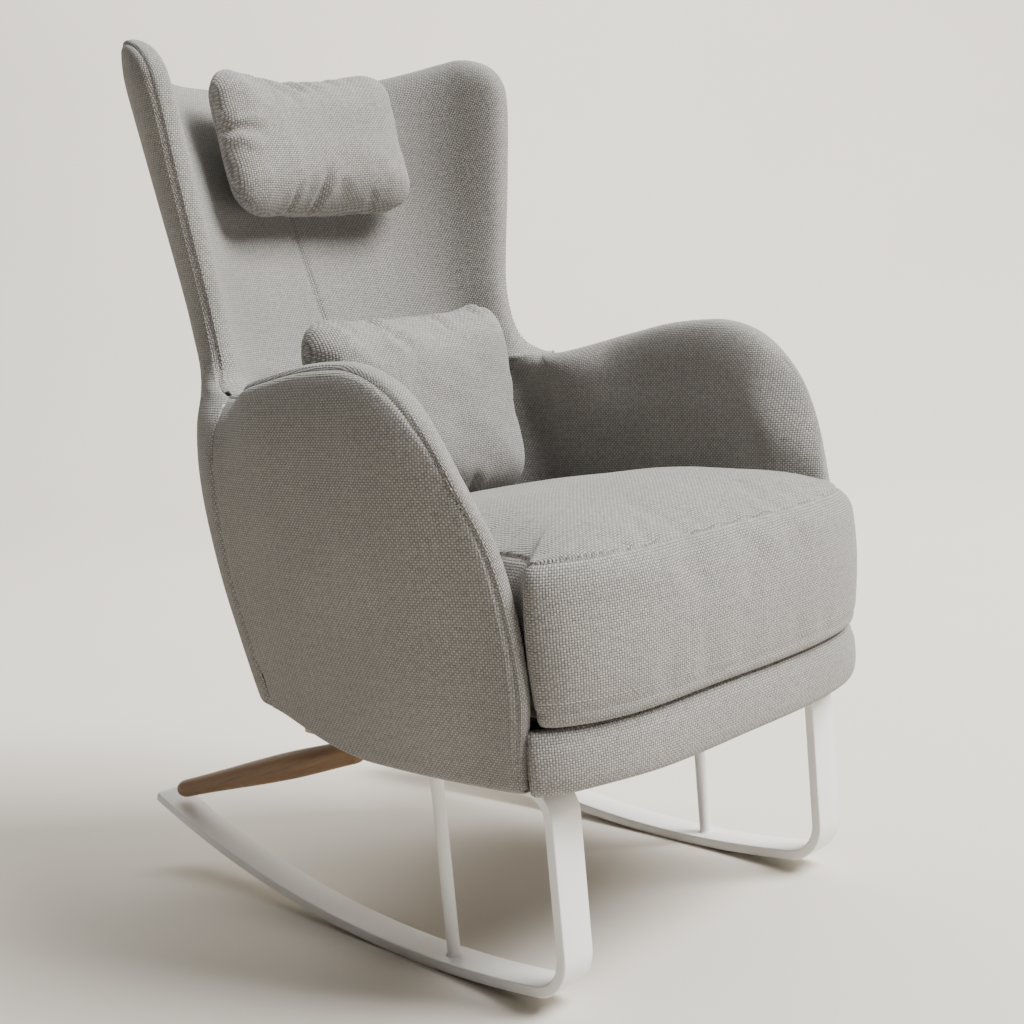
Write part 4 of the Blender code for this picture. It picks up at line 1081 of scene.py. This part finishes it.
def front_rail_pad():
    line = resample(spline(mirrored([(x, FRONT_Y + d) for x, d in FRONT_CURVE]), 12), 150)
    tangent = np.gradient(line, axis=0)
    tangent /= np.linalg.norm(tangent, axis=1)[:, None]
    inward = np.stack([-tangent[:, 1], tangent[:, 0]], -1)
    run = lengths(line)
    z_lo, z_hi, deep = 0.2385, 0.3030, 0.024
    count, power = 44, 3.0
    loops, cloth, seam = [], [], []
    shrink = np.minimum(run, run[-1] - run)
    for i, (x, y) in enumerate(line):
        end = math.sqrt(max(0.0, 1 - (1 - min(shrink[i] / 0.006, 1.0)) ** 2)) * 0.9 + 0.1
        row, row_cloth, row_seam = [], [], []
        for k in range(count):
            ang = 2 * math.pi * k / count
            c, s = math.cos(ang), math.sin(ang)
            dx = deep / 2 - deep / 2 * math.copysign(abs(c) ** (2 / power), c) * end
            z = (z_lo + z_hi) / 2 + (z_hi - z_lo) / 2 * math.copysign(abs(s) ** (2 / power), s) \
                * (0.93 + 0.07 * end)
            if c > 0:
                dx -= 0.0020 * math.cos((z - 0.2705) / 0.0325 * math.pi / 2) * end
            row.append((x + inward[i, 0] * dx, y + inward[i, 1] * dx, z))
            row_cloth.append((run[i], z if c > 0 else z_hi + (z_hi - z) + 0.03))
            row_seam.append(abs(z - (z_hi - 0.0115)) if c > 0.1 else 1.0)
        loops.append(row)
        cloth.append(row_cloth)
        seam.append(row_seam)
    verts = np.array(loops).reshape(-1, 3)
    cloth = np.array(cloth).reshape(-1, 2)
    seam = np.array(seam).reshape(-1)
    faces = grid_faces(len(line), count, wrap=True)
    faces += [tuple(range(count)), tuple(range(len(verts) - count, len(verts)))[::-1]]
    n = normals(verts, faces)
    mid = line.mean(0)
    if np.sum(n[:, :2] * (verts[:, :2] - mid)) < 0:
        n = -n
    verts = dent(verts, n, seam, 0.0013, 0.0022)
    verts = verts + n * (0.0008 * value_noise(verts, 0.11, 41))[:, None]
    obj = make("front_rail_padding", verts, faces, FABRIC, "chair", cloth)
    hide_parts("front_rail_pad")
    return obj


front_rail_pad()


# ---------------------------------------------------------------- soft simulation
def inflate(verts, faces, name, pressure, cap, frames=20, hold=None, shrink=0.0, stiff=15.0,
            bend=0.4):
    """Let a closed cover swell under pressure and return its points, moved by at most cap."""
    mesh = bpy.data.meshes.new(name)
    mesh.from_pydata(np.asarray(verts).tolist(), [], faces)
    mesh.update()
    obj = bpy.data.objects.new(name, mesh)
    bpy.context.scene.collection.objects.link(obj)
    mod = obj.modifiers.new("cloth", "CLOTH")
    st = mod.settings
    st.quality = 6
    st.mass = 0.3
    st.tension_stiffness = st.compression_stiffness = st.shear_stiffness = stiff
    st.bending_stiffness = bend
    st.use_pressure = True
    st.uniform_pressure_force = pressure
    st.effector_weights.gravity = 0.0
    st.shrink_min = shrink
    st.air_damping = 3.0
    if hold is not None:
        group = obj.vertex_groups.new(name="hold")
        for i, weight in enumerate(hold):
            if weight > 0:
                group.add([i], float(weight), "REPLACE")
        st.vertex_group_mass = "hold"
    mod.point_cache.frame_start, mod.point_cache.frame_end = 1, frames
    scene = bpy.context.scene
    for f in range(1, frames + 1):
        scene.frame_set(f)
    done = obj.evaluated_get(bpy.context.evaluated_depsgraph_get())
    flat = np.zeros(len(done.data.vertices) * 3)
    done.data.vertices.foreach_get("co", flat)
    moved = flat.reshape(-1, 3) - verts
    far = np.linalg.norm(moved, axis=1)
    print(f"[cloth] {name}: {len(verts)} points, mean move {far.mean() * 1000:.1f} mm, "
          f"most {far.max() * 1000:.1f} mm")
    far = np.maximum(far, 1e-9)
    moved *= (cap * np.tanh(far / cap) / far)[:, None]
    scene.frame_set(1)
    bpy.data.objects.remove(obj, do_unlink=True)
    bpy.data.meshes.remove(mesh)
    return verts + moved


def carry(rest, moved, points, near=8):
    """Displacement of a coarse simulated cover, spread onto nearby finer points."""
    tree = KDTree(len(rest))
    for i, p in enumerate(rest):
        tree.insert(p, i)
    tree.balance()
    delta = moved - rest
    out = np.zeros_like(points)
    for i, p in enumerate(points):
        found = tree.find_n(p, near)
        d = np.array([f[2] for f in found])
        w = 1.0 / (d + 0.002) ** 2
        out[i] = (delta[[f[1] for f in found]] * w[:, None]).sum(0) / w.sum()
    return out


# ---------------------------------------------------------------- seat cushion
CUSHION_MID = np.array((0.0, -0.045))
SEAM_LEVEL = 0.158           # height of the top seam above the cushion's underside
CROWN_LEVEL = 0.1925
TOP_INSET = 0.0115           # how far the top seam sits in from the outline
HEM_RISE, HEM_INSET = 0.013, 0.011      # rounding of the cushion's lower edge


def cushion_rings(fine):
    """Outline of the cushion, and a rounder ring well inside it with as many points."""
    ring = resample(spline(mirrored(CUSHION_SHAPE)[:-1], 12, closed=True),
                    300 if fine else 96, closed=True)
    rel = ring - CUSHION_MID
    angle = np.unwrap(np.arctan2(rel[:, 1], rel[:, 0]))
    steady = (np.maximum.accumulate(angle) + np.minimum.accumulate(angle[::-1])[::-1]) / 2
    even = angle[0] + np.arange(len(ring)) * 2 * math.pi / len(ring)
    angle = 0.88 * steady + 0.12 * even
    c, s = np.cos(angle), np.sin(angle)
    inner = CUSHION_MID + np.stack([0.15 * np.sign(c) * np.sqrt(np.abs(c)),
                                    0.19 * np.sign(s) * np.sqrt(np.abs(s))], 1)
    return ring, inner


def depth_inside(points, ring):
    """Smooth measure of how far points lie inside a closed outline."""
    line = resample(ring, 1500, closed=True)
    step = lengths(line)[-1] / len(line)
    total = np.zeros(len(points))
    for part in np.array_split(line, 30):
        d2 = ((points[:, None] - part[None]) ** 2).sum(2)
        total += (step / np.maximum(d2, 1e-6) ** 2).sum(1)
    return (total * 2 / math.pi) ** (-1 / 3)


def cushion_rows(fine):
    """Rings of points from the middle of the underside to the middle of the top."""
    ring, inner = cushion_rings(fine)
    tangent = np.roll(ring, -1, 0) - np.roll(ring, 1, 0)
    outward = np.stack([tangent[:, 1], -tangent[:, 0]], 1)
    outward /= np.linalg.norm(outward, axis=1)[:, None]
    inward = inner - ring                   # along these rays insets don't fold at the corners
    inward /= np.linalg.norm(inward, axis=1)[:, None]

    def flat(share, start):
        if share < 0.6:
            return start + (inner - start) * share / 0.6
        return CUSHION_MID + (inner - CUSHION_MID) * (1 - share) / 0.4

    def level(xy, z):
        return np.concatenate([xy, np.broadcast_to(np.asarray(z)[..., None], (len(xy), 1))], 1)

    n_bottom, n_hem, n_side, n_top = (12, 14, 44, 46) if fine else (5, 3, 13, 15)
    rows, kinds = [], []
    for f in np.linspace(0.97, 0.03, n_bottom):
        rows.append(level(flat(f, ring + 0.014 * inward), 0.0))
        kinds.append("bottom")
    for ang in np.radians(np.linspace(-90, 0, n_hem)):      # rounded lower edge
        rows.append(level(ring + inward * (HEM_INSET - HEM_INSET * math.cos(ang)),
                          HEM_RISE + HEM_RISE * math.sin(ang)))
        kinds.append("hem")
    for z in np.linspace(HEM_RISE, SEAM_LEVEL, n_side)[1:]:
        f = (z - HEM_RISE) / (SEAM_LEVEL - HEM_RISE)
        belly = 0.0045 * math.sin(math.pi * f) ** 0.8
        turn = TOP_INSET * max(0.0, (f - 0.82) / 0.18) ** 2
        rows.append(level(ring + outward * belly + inward * turn, z))
        kinds.append("side")
    start = ring + inward * TOP_INSET
    base = depth_inside(start, ring)
    for f in np.linspace(0.0, 0.985, n_top)[1:]:
        xy = flat(f**1.7, start)
        d = np.clip((depth_inside(xy, ring) - base) / 0.125, 0.0, 1.0)
        d = 1 - (1 - d) ** 2.2
        eased = d
        for _ in range(160 if fine else 16):        # no hip lines running in from the corners
            eased = (np.roll(eased, 1) + 2 * eased + np.roll(eased, -1)) / 4
        d = d + (eased - d) * smooth(0.0, 0.12, f**1.7)
        rows.append(level(xy, SEAM_LEVEL + (CROWN_LEVEL - SEAM_LEVEL) * d**0.8))
        kinds.append("top")
    verts = np.vstack(rows + [[[*CUSHION_MID, 0.0], [*CUSHION_MID, CROWN_LEVEL]]])
    verts[:, 2] -= CUSHION_SAG * smooth(-0.16, 0.16, verts[:, 1]) * verts[:, 2] / CROWN_LEVEL
    verts[:, 2] += DECK_TOP
    count = len(ring)
    faces = grid_faces(len(rows), count, wrap=True)
    faces += [(i, len(verts) - 2, (i + 1) % count) for i in range(count)]
    last = (len(rows) - 1) * count
    faces += [(last + (i + 1) % count, len(verts) - 1, last + i) for i in range(count)]
    return verts, faces, kinds, ring


def seat_cushion():
    verts, faces, kinds, ring = cushion_rows(True)
    count = len(ring)
    level = np.append(np.repeat(np.arange(len(kinds)), count), (0, len(kinds) - 1))
    kind = np.array(kinds)[level]
    seam_row, hem_row = kinds.index("top") - 1, kinds.index("side")
    cover, cover_faces, cover_kinds, cover_ring = cushion_rows(False)
    n = len(cover_ring)
    hold = np.repeat([float(k in ("bottom", "hem")) for k in cover_kinds], n)
    top = (cover_kinds.index("top") - 1) * n
    hold[top:top + n] = 1.0
    hold = np.append(hold, (1.0, 0.0))
    moved = inflate(cover, cover_faces, "cushion_sim", 3.5, 0.005, hold=hold, shrink=-0.012)
    verts = verts + carry(cover, moved, verts)
    n = facing(verts, faces, verts - verts.mean(0))
    columns = np.append(np.tile(np.arange(count), len(kinds)), (0, 0))
    seam = np.linalg.norm(verts - verts[seam_row * count + columns], axis=1)
    hem = np.linalg.norm(verts - verts[hem_row * count + columns], axis=1)
    seam[kind == "bottom"] = hem[kind == "bottom"] = 1.0
    verts = dent(verts, n, seam, 0.0020, 0.0024)
    verts = dent(verts, n, hem, 0.0009, 0.0018)
    calm = smooth(0.0, 0.03, seam) * (kind != "bottom") * smooth(0.0, 0.03, hem)
    verts = verts + n * (0.0016 * value_noise(verts, 0.15, 51) * calm)[:, None]
    # weave position: the flat panels by (x, y), the band by its own run
    run = lengths(np.vstack([ring, ring[:1]]))
    rise = verts[:, 2] - DECK_TOP
    corner = []
    for f in faces:
        on_flat = kinds[max(level[v] for v in f)] in ("top", "bottom")
        cols = [columns[v] for v in f]
        wrap = max(cols) == count - 1 and min(cols) == 0
        for v, c in zip(f, cols):
            corner.append(verts[v, :2] if on_flat
                          else (run[count] if wrap and c == 0 else run[c], rise[v]))
    obj = make("seat_cushion_cover", verts, faces, FABRIC, "cushion",
               corner_cloth=np.array(corner))
    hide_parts("seat_cushion")
    for row in (seam_row + 1, hem_row + 3):
        pick = slice(row * count, (row + 1) * count)
        stitches(f"cushion_stitches_{row}", verts[pick], n[pick], "cushion", closed=True)
    return obj


seat_cushion()


# ---------------------------------------------------------------- pillows
def pillow(name, spec, body, folds, seed, corner, n_x, n_z):
    """Soft pillow of two panels sewn round their edge; folds are strokes on its front."""
    centre, width, height, thick, lean, wrap = spec
    a1 = np.sin(np.linspace(-1, 1, n_x) * math.pi / 2 * 0.97) / math.sin(math.pi / 2 * 0.97)
    b1 = np.sin(np.linspace(-1, 1, n_z) * math.pi / 2 * 0.97) / math.sin(math.pi / 2 * 0.97)
    a1 = 0.45 * a1 + 0.55 * np.linspace(-1, 1, n_x)
    b1 = 0.45 * b1 + 0.55 * np.linspace(-1, 1, n_z)
    a, b = np.meshgrid(a1, b1)
    half_w, half_h = width / 2 * 0.985, height / 2 * 0.985
    # round the corners
    ca = np.clip((np.abs(a) * half_w - (half_w - corner)) / corner, 0, 1)
    cb = np.clip((np.abs(b) * half_h - (half_h - corner)) / corner, 0, 1)
    ra, rb = rounded_corner(ca, cb)
    x = np.sign(a) * (np.where(ca > 0, half_w - corner + corner * ra, np.abs(a) * half_w))
    z = np.sign(b) * (np.where(cb > 0, half_h - corner + corner * rb, np.abs(b) * half_h))
    # the sides draw in a little between the corners
    x = x * (1 - 0.018 * (1 - b * b))
    z = z * (1 - 0.022 * (1 - a * a))
    inside = np.where((ca > 0) & (cb > 0), corner * (1 - np.hypot(ra, rb)),
                      np.minimum(half_w - np.abs(a) * half_w, half_h - np.abs(b) * half_h))
    inside = np.maximum(inside, 0)
    deep = min(half_h, half_w) * 0.96
    crown = (1 - (1 - np.clip(inside / deep, 0, 1)) ** 2.5) ** 0.58
    rows, cols = a.shape
    front, back = {}, {}
    verts, face_side = [], []
    for j in range(rows):
        for i in range(cols):
            border = i in (0, cols - 1) or j in (0, rows - 1)
            y = thick / 2 * 0.94 * crown[j, i]
            front[j, i] = len(verts)
            verts.append((x[j, i], -y - wrap * a[j, i] ** 2, z[j, i]))
            if border:
                back[j, i] = front[j, i]
            else:
                back[j, i] = len(verts)
                verts.append((x[j, i], y * 0.96 - wrap * a[j, i] ** 2, z[j, i]))
    faces = []
    for j in range(rows - 1):
        for i in range(cols - 1):
            faces.append((front[j, i], front[j, i + 1], front[j + 1, i + 1], front[j + 1, i]))
            face_side.append(0)
            faces.append((back[j, i], back[j + 1, i], back[j + 1, i + 1], back[j, i + 1]))
            face_side.append(1)
    verts = np.array(verts)
    verts = inflate(verts, faces, name + "_sim", 5.0, 0.007, frames=24, shrink=-0.035,
                    stiff=12.0, bend=0.15)
    # one subdivision smooths the simulated cover before the folds are drawn in
    mesh = bpy.data.meshes.new(name + "_mesh")
    mesh.from_pydata(verts.tolist(), [], faces)
    side_attr = mesh.attributes.new("side", "INT", "FACE")
    side_attr.data.foreach_set("value", face_side)
    obj = bpy.data.objects.new(name + "_tmp", mesh)
    bpy.context.scene.collection.objects.link(obj)
    mod = obj.modifiers.new("sub", "SUBSURF")
    mod.levels = mod.render_levels = 1
    done = bpy.data.meshes.new_from_object(obj.evaluated_get(
        bpy.context.evaluated_depsgraph_get()))
    co = np.zeros(len(done.vertices) * 3)
    done.vertices.foreach_get("co", co)
    verts = co.reshape(-1, 3)
    faces = [tuple(p.vertices) for p in done.polygons]
    sides = np.zeros(len(done.polygons), int)
    done.attributes["side"].data.foreach_get("value", sides)
    bpy.data.objects.remove(obj, do_unlink=True)
    bpy.data.meshes.remove(mesh)
    bpy.data.meshes.remove(done)
    n = facing(verts, faces, verts - verts.mean(0))
    front_side = smooth(-0.1, 0.35, -n[:, 1])
    flat = verts[:, (0, 2)]
    push = np.zeros(len(verts))
    for (x0, z0), (x1, z1), depth, wide in folds:
        start = np.array((x0, z0)) * (width / 2, height / 2)
        seg = np.array((x1, z1)) * (width / 2, height / 2) - start
        f = np.clip(((flat - start) @ seg) / (seg @ seg), -0.05, 1.0)
        d = np.linalg.norm(flat - (start + f[:, None] * seg), axis=1)
        spread = wide * (0.65 + 0.8 * np.clip(f, 0, 1))
        fade = 1 - smooth(0.35, 1.0, f)
        push -= depth * fade * (np.exp(-(d / spread) ** 2)
                                - 0.45 * np.exp(-((d - 2.1 * spread) / (1.1 * spread)) ** 2))
    verts = verts + n * (push * front_side)[:, None]
    verts = verts + n * (0.0016 * value_noise(verts, 0.075, seed)
                         + 0.0008 * value_noise(verts, 0.035, seed + 1))[:, None]
    corner_cloth = []
    for f, sd in zip(faces, sides):
        for v in f:
            corner_cloth.append((verts[v, 0], verts[v, 2]) if sd == 0
                                else (0.7 - verts[v, 0], verts[v, 2]))
    turn = np.array(Matrix.Rotation(math.radians(-lean), 3, "X"))
    verts = verts @ turn.T + np.array(centre)
    obj = make(name, verts, faces, FABRIC, body, corner_cloth=np.array(corner_cloth))
    return obj


# folds: start, end (shares of the half size), depth and width
HEAD_FOLDS = (
    ((-0.52, 1.0), (-0.15, 0.35), 0.0050, 0.0060),
    ((-0.25, 1.0), (0.05, 0.45), 0.0045, 0.0055),
    ((0.02, 1.0), (0.14, 0.42), 0.0035, 0.0055),
    ((-1.0, 0.12), (-0.55, 0.0), 0.0060, 0.0080),
    ((-1.0, 0.20), (-0.60, 0.35), 0.0030, 0.0060),
    ((-0.12, -1.0), (0.02, -0.30), 0.0050, 0.0060),
    ((-0.42, -1.0), (-0.36, -0.55), 0.0030, 0.0045),
    ((0.35, 1.0), (0.33, 0.62), 0.0022, 0.0050),
    ((0.55, -1.0), (0.42, -0.62), 0.0022, 0.0050),
)
LUMBAR_FOLDS = (
    ((-0.42, 1.0), (-0.10, 0.40), 0.0055, 0.0070),
    ((0.22, 1.0), (0.32, 0.60), 0.0035, 0.0060),
    ((0.62, 1.0), (0.60, 0.72), 0.0030, 0.0050),
    ((0.78, 1.0), (0.70, 0.70), 0.0030, 0.0050),
    ((0.40, -1.0), (0.22, -0.62), 0.0035, 0.0060),
    ((-0.75, 1.0), (-0.55, 0.62), 0.0030, 0.0060),
)
head = pillow("head_pillow_cover", HEAD, "headrest", HEAD_FOLDS, 61, 0.045, 46, 34)
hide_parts("head_pillow")
lumbar = pillow("lumbar_pillow_cover", LUMBAR, "lumbar", LUMBAR_FOLDS, 71, 0.050, 52, 38)
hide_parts("lumbar_pillow")


# ---------------------------------------------------------------- metal runners and posts
BAR_W, BAR_T, RUNNER_X, ROCKER_R = 0.041, 0.012, 0.218, 1.52
BEND_R, TOP_BEND_R, TAB_TOP, TAB_LENGTH = 0.052, 0.034, 0.2380, 0.115
FACET, REAR_ANGLE, FRONT_ANGLE = 0.030, 0.346, 0.127
END_BEVEL, POST_Y = 0.0012, -0.048
LEG_FOOT_Y, LEG_TOP, LEG_R = 0.480, (0.085, 0.2205), 0.0115


def runner_edges():
    """Outer and inner edge of the bent bar in (y, z), tail first."""
    half = FACET / ROCKER_R / 2
    rear = 2 * half * round(REAR_ANGLE / (2 * half) + 0.5) - half
    front = 2 * half * round(FRONT_ANGLE / (2 * half) + 0.5) - half
    pairs = []
    for a in np.linspace(rear, -front, 90):
        d = np.array((math.sin(a), -math.cos(a)))
        centre = np.array((0.0, ROCKER_R))
        pairs.append((centre + d * ROCKER_R, centre + d * (ROCKER_R - BAR_T)))
    normal = np.array((math.sin(front), math.cos(front)))
    centre = pairs[-1][0] + normal * BEND_R
    a0 = math.atan2(-normal[1], -normal[0])
    for a in np.linspace(a0, -math.pi, 20)[1:]:
        d = np.array((math.cos(a), math.sin(a)))
        pairs.append((centre + d * BEND_R, centre + d * (BEND_R - BAR_T)))
    top = np.array((centre[0] - BEND_R + TOP_BEND_R, TAB_TOP - TOP_BEND_R))
    for a in np.linspace(math.pi, math.pi / 2, 18):
        d = np.array((math.cos(a), math.sin(a)))
        pairs.append((top + d * TOP_BEND_R, top + d * (TOP_BEND_R - BAR_T)))
    end = top[0] + TAB_LENGTH
    pairs.append((np.array((end, TAB_TOP)), np.array((end, TAB_TOP - BAR_T))))
    return pairs


def section(width, thick, round_r, per=4):
    """Rounded rectangle across the bar: x across, 0..1 through it."""
    pts = []
    for cx, cy, start in ((1, 1, 0), (-1, 1, 90), (-1, -1, 180), (1, -1, 270)):
        for k in range(per + 1):
            a = math.radians(start + 90 * k / per)
            pts.append((cx * (width / 2 - round_r) + round_r * math.cos(a),
                        cy * (thick / 2 - round_r) + round_r * math.sin(a)))
    return pts


def runner(name, side):
    pairs = runner_edges()
    sec = section(BAR_W, BAR_T, 0.0016)
    rows = []
    for i, (out, inn) in enumerate(pairs):
        mid, across = (out + inn) / 2, (out - inn) / np.linalg.norm(out - inn)
        rows.append([(side * RUNNER_X + x, mid[0] + across[0] * t, mid[1] + across[1] * t)
                     for x, t in sec])
    # rounded ends: a slightly smaller last loop just beyond
    for at_start in (True, False):
        i, j = (0, 1) if at_start else (-1, -2)
        mid = np.mean(pairs[i], 0)
        step = mid - np.mean(pairs[j], 0)
        step /= np.linalg.norm(step)
        out, inn = pairs[i]
        across = (out - inn) / np.linalg.norm(out - inn)
        cap = [(side * RUNNER_X + x * 0.93, mid[0] + across[0] * t * 0.78,
                mid[1] + across[1] * t * 0.78) for x, t in sec]
        if at_start:
            rows.insert(0, cap)
            rows[1] = [(x, y - step[0] * END_BEVEL, z - step[1] * END_BEVEL)
                       for x, y, z in rows[1]]
        else:
            rows.append(cap)
            rows[-2] = [(x, y - step[0] * END_BEVEL, z - step[1] * END_BEVEL)
                        for x, y, z in rows[-2]]
    verts = np.array(rows).reshape(-1, 3)
    count = len(sec)
    faces = grid_faces(len(rows), count, wrap=True)
    faces += [tuple(range(count))[::-1], tuple(range(len(verts) - count, len(verts)))]
    return make(name, verts, faces, WHITE, "chair")


def lathe_piece(name, start, end, radii, mat, body, sides=40):
    """Turned piece between two points; radii is a list of (share along, radius)."""
    start, end = np.array(start, float), np.array(end, float)
    axis = (end - start) / np.linalg.norm(end - start)
    side_dir = np.cross(axis, (1.0, 0.0, 0.0))
    if np.linalg.norm(side_dir) < 0.1:
        side_dir = np.cross(axis, (0.0, 1.0, 0.0))
    side_dir /= np.linalg.norm(side_dir)
    other = np.cross(axis, side_dir)
    rows = []
    for f, r in radii:
        c = start + (end - start) * f
        rows.append([c + r * (math.cos(2 * math.pi * k / sides) * side_dir
                              + math.sin(2 * math.pi * k / sides) * other) for k in range(sides)])
    verts = np.array(rows).reshape(-1, 3)
    faces = grid_faces(len(rows), sides, wrap=True)
    faces += [tuple(range(sides))[::-1], tuple(range(len(verts) - sides, len(verts)))]
    return make(name, verts, faces, mat, body)


def rocker_top_z(y):
    return ROCKER_R - math.sqrt((ROCKER_R - BAR_T) ** 2 - y * y)


for label, side in (("left", -1.0), ("right", 1.0)):
    bar = runner(f"{label}_runner_bar", side)
    sharpen(bar, 50)
    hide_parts(f"{label}_runner")
    x = side * RUNNER_X
    foot, top = rocker_top_z(POST_Y) - 0.0006, TAB_TOP + 0.0001
    rod = lathe_piece(f"{label}_post_rod", (x, POST_Y, foot), (x, POST_Y, top),
                      [(0, 0.0098), (0.004, 0.0093), (0.009, 0.0079), (0.016, 0.00725),
                       (0.5, 0.0072), (0.97, 0.0072), (0.985, 0.0078), (1.0, 0.0095)],
                      WHITE, "chair")
    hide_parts(f"{label}_post")
    leg_foot = np.array((x, LEG_FOOT_Y, rocker_top_z(LEG_FOOT_Y) + LEG_R * 1.25))
    leg_top = np.array((x, *LEG_TOP))
    radii = [(0.0, 0.0050), (0.004, 0.0082), (0.010, 0.0098), (0.022, 0.0111), (0.04, 0.0116)]
    for f in np.linspace(0.08, 0.97, 30):
        r = LEG_R + 0.005 * smooth(0.0, 0.68, f) - 0.0025 * smooth(0.66, 1.0, f)
        radii.append((float(f), float(r)))
    radii += [(0.99, 0.0134), (1.0, 0.0120)]
    leg = lathe_piece(f"{label}_rear_wooden_leg", leg_foot, leg_top, radii, OAK, "chair", 48)
    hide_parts(f"{label}_rear_leg")

# ---------------------------------------------------------------- finishes on carried-over nodes
FINISH = {"frame": PLY, "rail": RAW, "block": RAW, "spring": ZINC, "plate": ZINC, "bolt": ZINC,
          "screw": ZINC, "deck": BLACK, "cover": BLACK, "tape": TAPE}
for name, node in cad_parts.items():
    for word, mat in FINISH.items():
        if word in name.split("_"):
            if not node.material_slots:
                node.data.materials.append(mat)
            for slot in node.material_slots:
                slot.material = mat

# ---------------------------------------------------------------- floor, light, camera
def backdrop():
    """Pale seamless floor that curves up behind the chair."""
    m = Nodes("paper_backdrop")
    at = m.node("ShaderNodeTexCoord").outputs["Object"]
    fine = m.noise(at, 300.0, 2.0, 0.5)
    broad = m.noise(at, 1.2, 2.0, 0.5)
    colour = m.mix(m.span(broad, 0.3, 0.7, 0.0, 1.0), (0.715, 0.675, 0.605, 1),
                   (0.735, 0.695, 0.625, 1))
    mat = m.finish(colour, m.span(fine, 0.3, 0.7, 0.88, 0.96), m.bump(fine, 0.05, 0.0004))
    # a sweep as wide as a studio wall, level under the chair and rising behind it
    ahead, across = np.array((0.69, 0.724)), np.array((0.724, -0.69))
    profile = [(-5.0, 0.0), (-2.0, 0.0), (0.0, 0.0), (2.0, 0.0), (3.4, 0.0)]
    profile += [(3.4 + 2.2 * math.sin(a), 2.2 - 2.2 * math.cos(a))
                for a in np.radians(np.linspace(6, 90, 15))]
    profile += [(5.6, 4.0), (5.6, 6.5)]
    sides = np.linspace(-6.5, 6.5, 9)
    verts = [(*(ahead * d + across * w), z) for d, z in profile for w in sides]
    faces = [f[::-1] for f in grid_faces(len(profile), len(sides))]
    mesh = bpy.data.meshes.new("backdrop")
    mesh.from_pydata(verts, [], faces)
    mesh.polygons.foreach_set("use_smooth", [True] * len(mesh.polygons))
    mesh.materials.append(mat)
    obj = bpy.data.objects.new("backdrop", mesh)
    bpy.context.scene.collection.objects.link(obj)
    return obj


backdrop()


def area(name, at, aim, size, power, colour):
    data = bpy.data.lights.new(name, "AREA")
    data.shape, data.size, data.size_y = "RECTANGLE", size[0], size[1]
    data.energy, data.color = power, colour
    obj = bpy.data.objects.new(name, data)
    bpy.context.scene.collection.objects.link(obj)
    obj.location = at
    obj.rotation_euler = (Vector(aim) - Vector(at)).to_track_quat("-Z", "Y").to_euler()
    return obj


area("key_light", (2.54, -4.40, 6.10), (0.0, 0.0, 0.45), (3.6, 3.6), 1520.0, (1.0, 0.985, 0.965))
area("backdrop_wash", (0.9, 1.4, 4.6), (3.9, 4.1, 0.7), (6.0, 2.4), 360.0, (1.0, 0.985, 0.96))

world = bpy.data.worlds.new("soft_world")
bpy.context.scene.world = world
world.use_nodes = True
sky = world.node_tree.nodes["Background"]
sky.inputs["Color"].default_value = (1.0, 0.985, 0.96, 1.0)
sky.inputs["Strength"].default_value = 0.03

cam_data = bpy.data.cameras.new("camera")
cam_data.lens, cam_data.sensor_width = 52.734, 36.0
camera = bpy.data.objects.new("camera", cam_data)
bpy.context.scene.collection.objects.link(camera)
right = Vector((0.713262, -0.695224, -0.088999))
up = Vector((0.160892, 0.038817, 0.986208))
ahead = Vector((0.682181, 0.717744, -0.139543))
camera.matrix_world = (Matrix.Translation((-1.20584, -1.34532, 0.70699))
                       @ Matrix((right, up, -ahead)).transposed().to_4x4())
bpy.context.scene.camera = camera
